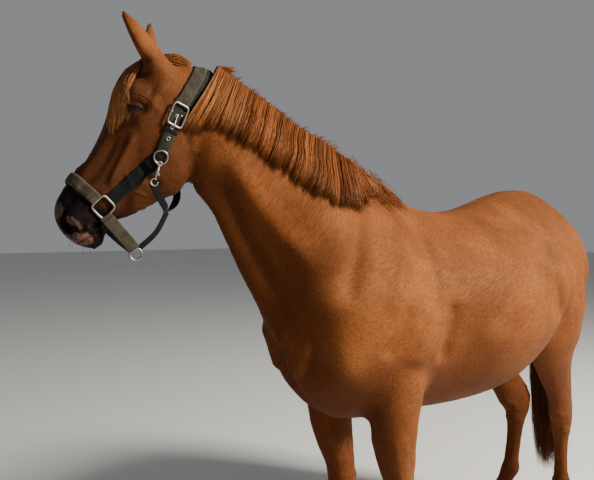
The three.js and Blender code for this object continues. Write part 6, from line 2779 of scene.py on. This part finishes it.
    def snap(self, surface: HeadSurface) -> None:
        """The bolt snap between the near ring and the throat strap: eye, barrel, thumb knob and hook."""
        start = surface.frame(1, 330, -160, (1.0, -0.2))[0] + np.array([10.0, 0, 0])
        end = np.array([84.0, 388.0, -176.0])
        way = unit(end - start)
        side = unit(np.cross(way, np.array([1.0, 0, 0])))
        s = np.linspace(0, 1, 40)
        radius = np.interp(
            s,
            (0, 0.08, 0.1, 0.2, 0.22, 0.3, 0.34, 0.72, 0.78, 0.84, 1),
            (2.4, 2.6, 5, 5, 3.2, 3.2, 5.4, 5.6, 4.4, 3.0, 2.6),
        )
        barrel = wire(start + (end - start) * s[:, None] * 0.72, radius, False, 16)
        angle = np.linspace(-0.4, FULL_TURN - 1.1, 36)
        middle = start + (end - start) * 0.88
        hook = middle + 9.5 * (np.cos(angle)[:, None] * side + np.sin(angle)[:, None] * way)
        knob = start + (end - start) * 0.5
        knob_path = knob + np.linspace(0, 10, 10)[:, None] * unit(side + np.array([0.8, 0, 0]))
        knob_radius = np.array([2, 2, 2, 2, 2, 3.2, 4.2, 4.2, 3.2, 1.0])
        self.fitting(
            "throat_snap", [barrel, wire(hook, 2.5, False, 12), wire(knob_path, knob_radius, False, 12)]
        )
        eye = start + 6.5 * (np.cos(turns(32))[:, None] * side - np.sin(turns(32))[:, None] * way)
        self.fitting("snap_eye", [wire(eye, 2.0, True, 10)])

    def build(self, skin: Skin) -> None:
        """Makes the straps and the fittings."""
        surface = HeadSurface(skin.bare.over(NECK.off_head(skin.bare.points)).tree())
        self.metal = Metal().material()
        self.lining_finish = Padding().material()
        self.olive = Webbing("webbing_olive", (0.036, 0.032, 0.023), (0.11, 0.10, 0.075)).material()
        self.olive_dark = Webbing(
            "webbing_olive_dark", (0.026, 0.024, 0.018), (0.08, 0.07, 0.055), worn=0.15
        ).material()
        self.khaki = Webbing(
            "webbing_khaki", (0.056, 0.044, 0.028), (0.17, 0.14, 0.095), worn=0.45
        ).material()
        self.black = Webbing(
            "webbing_black",
            (0.0050, 0.0054, 0.0066),
            (0.022, 0.022, 0.022),
            (0.06, 0.055, 0.045),
            worn=0.05,
        ).material()
        self.crown(surface)
        self.nose(surface)
        self.under()
        self.fittings(surface)


# ---------------------------------------------------------------- the studio
@dataclass
class Studio:
    """A pale floor, soft light and the camera."""

    eye: tuple[float, float, float] = (1.39, -2.05 + FORWARD_SHIFT * MM, 1.40)
    yaw: float = math.radians(48.4)
    pitch: float = math.radians(-0.8)
    lens: float = 36.0 * 600.0 / 594.0

    def light(self, name: str, place: Sequence[float], aim: Sequence[float], size: float, power: float,
              tint: tuple[float, float, float]) -> None:
        """A soft square light that looks at a point."""
        lamp = bpy.data.lights.new(name, "AREA")
        lamp.shape = "SQUARE"
        lamp.size = size
        lamp.energy = power
        lamp.color = tint
        thing = bpy.data.objects.new(name, lamp)
        thing.location = place
        thing.rotation_euler = (Vector(aim) - Vector(place)).to_track_quat("-Z", "Y").to_euler()
        bpy.context.scene.collection.objects.link(thing)

    def build(self) -> None:
        """Makes the floor, the lights, the sky and the camera."""
        floor = bpy.data.meshes.new("floor")
        reach = 40.0
        floor.from_pydata(
            [(-reach, -reach, 0), (reach, -reach, 0), (reach, reach, 0), (-reach, reach, 0)],
            [],
            [(0, 1, 2, 3)],
        )
        ground = bpy.data.objects.new("floor", floor)
        bpy.context.scene.collection.objects.link(ground)
        nodes = NodeSet("studio_floor")
        floor.materials.append(nodes.dress(Base_Color=(0.62, 0.61, 0.59), Roughness=0.85))
        world = bpy.data.worlds.new("studio")
        world.use_nodes = True
        sky = world.node_tree.nodes["Background"]
        sky.inputs["Color"].default_value = (0.93, 0.96, 1.0, 1.0)
        sky.inputs["Strength"].default_value = 0.27
        bpy.context.scene.world = world
        self.light("key", (4.6, 3.0, 4.7), (0.0, 0.0, 1.1), 1.2, 1300, (1.0, 0.95, 0.84))
        self.light("fill", (-3.0, -5.0, 3.0), (0, -0.6, 1.3), 4.0, 16, (0.92, 0.96, 1.0))
        camera = bpy.data.cameras.new("camera")
        camera.lens = self.lens
        camera.sensor_width = 36.0
        camera.sensor_fit = "HORIZONTAL"
        camera.clip_end = 200.0
        view = bpy.data.objects.new("camera", camera)
        view.location = self.eye
        view.rotation_euler = (math.pi / 2 + self.pitch, 0.0, self.yaw)
        bpy.context.scene.collection.objects.link(view)
        bpy.context.scene.camera = view


# ---------------------------------------------------------------- everything together
FLESH = ["trunk", "neck", "head", "ear_left", "ear_right"] + [f"leg_{limb.node}" for limb in Limb]


def dress_skin(skin: Skin, eyes: Eyes) -> None:
    """Joins the ears and the lids to the skin, and puts it into the scene with its coat."""
    colour, bare = coat_colour(skin)
    shells, colours, bares, lies = [skin.shell], [colour], [bare], [hair_lie(skin)]
    tree = skin.bare.over(NECK.off_head(skin.bare.points)).tree()
    extra = [ear.shell() for ear in EARS.values()] + [eyes.lids(side, tree) for side in (1, -1)]
    for shell, tone, smooth in extra:
        shells.append(shell)
        colours.append(tone)
        bares.append(smooth)
        lies.append(repeated((0.0, 0.0, 1.0, 1.0), len(tone)))
    new_piece("skin", Shell.joined(shells), ShortCoat().material(), FLESH,
              {"coat": np.concatenate(colours), "lie": np.concatenate(lies)}, {"bare": np.concatenate(bares)})


def main() -> None:
    """Builds and dresses the horse."""
    logging.basicConfig(level=logging.INFO, format="%(name)s: %(message)s")
    skin = Skin()
    skin.build()
    eyes = Eyes()
    dress_skin(skin, eyes)
    eyes.build()
    Hooves().build()
    Mane().build(skin)
    TailHair().build()
    Forelock().build(skin)
    Tufts().build(skin)
    Headcollar().build(skin)
    Studio().build()


if __name__ == "__main__":
    main()
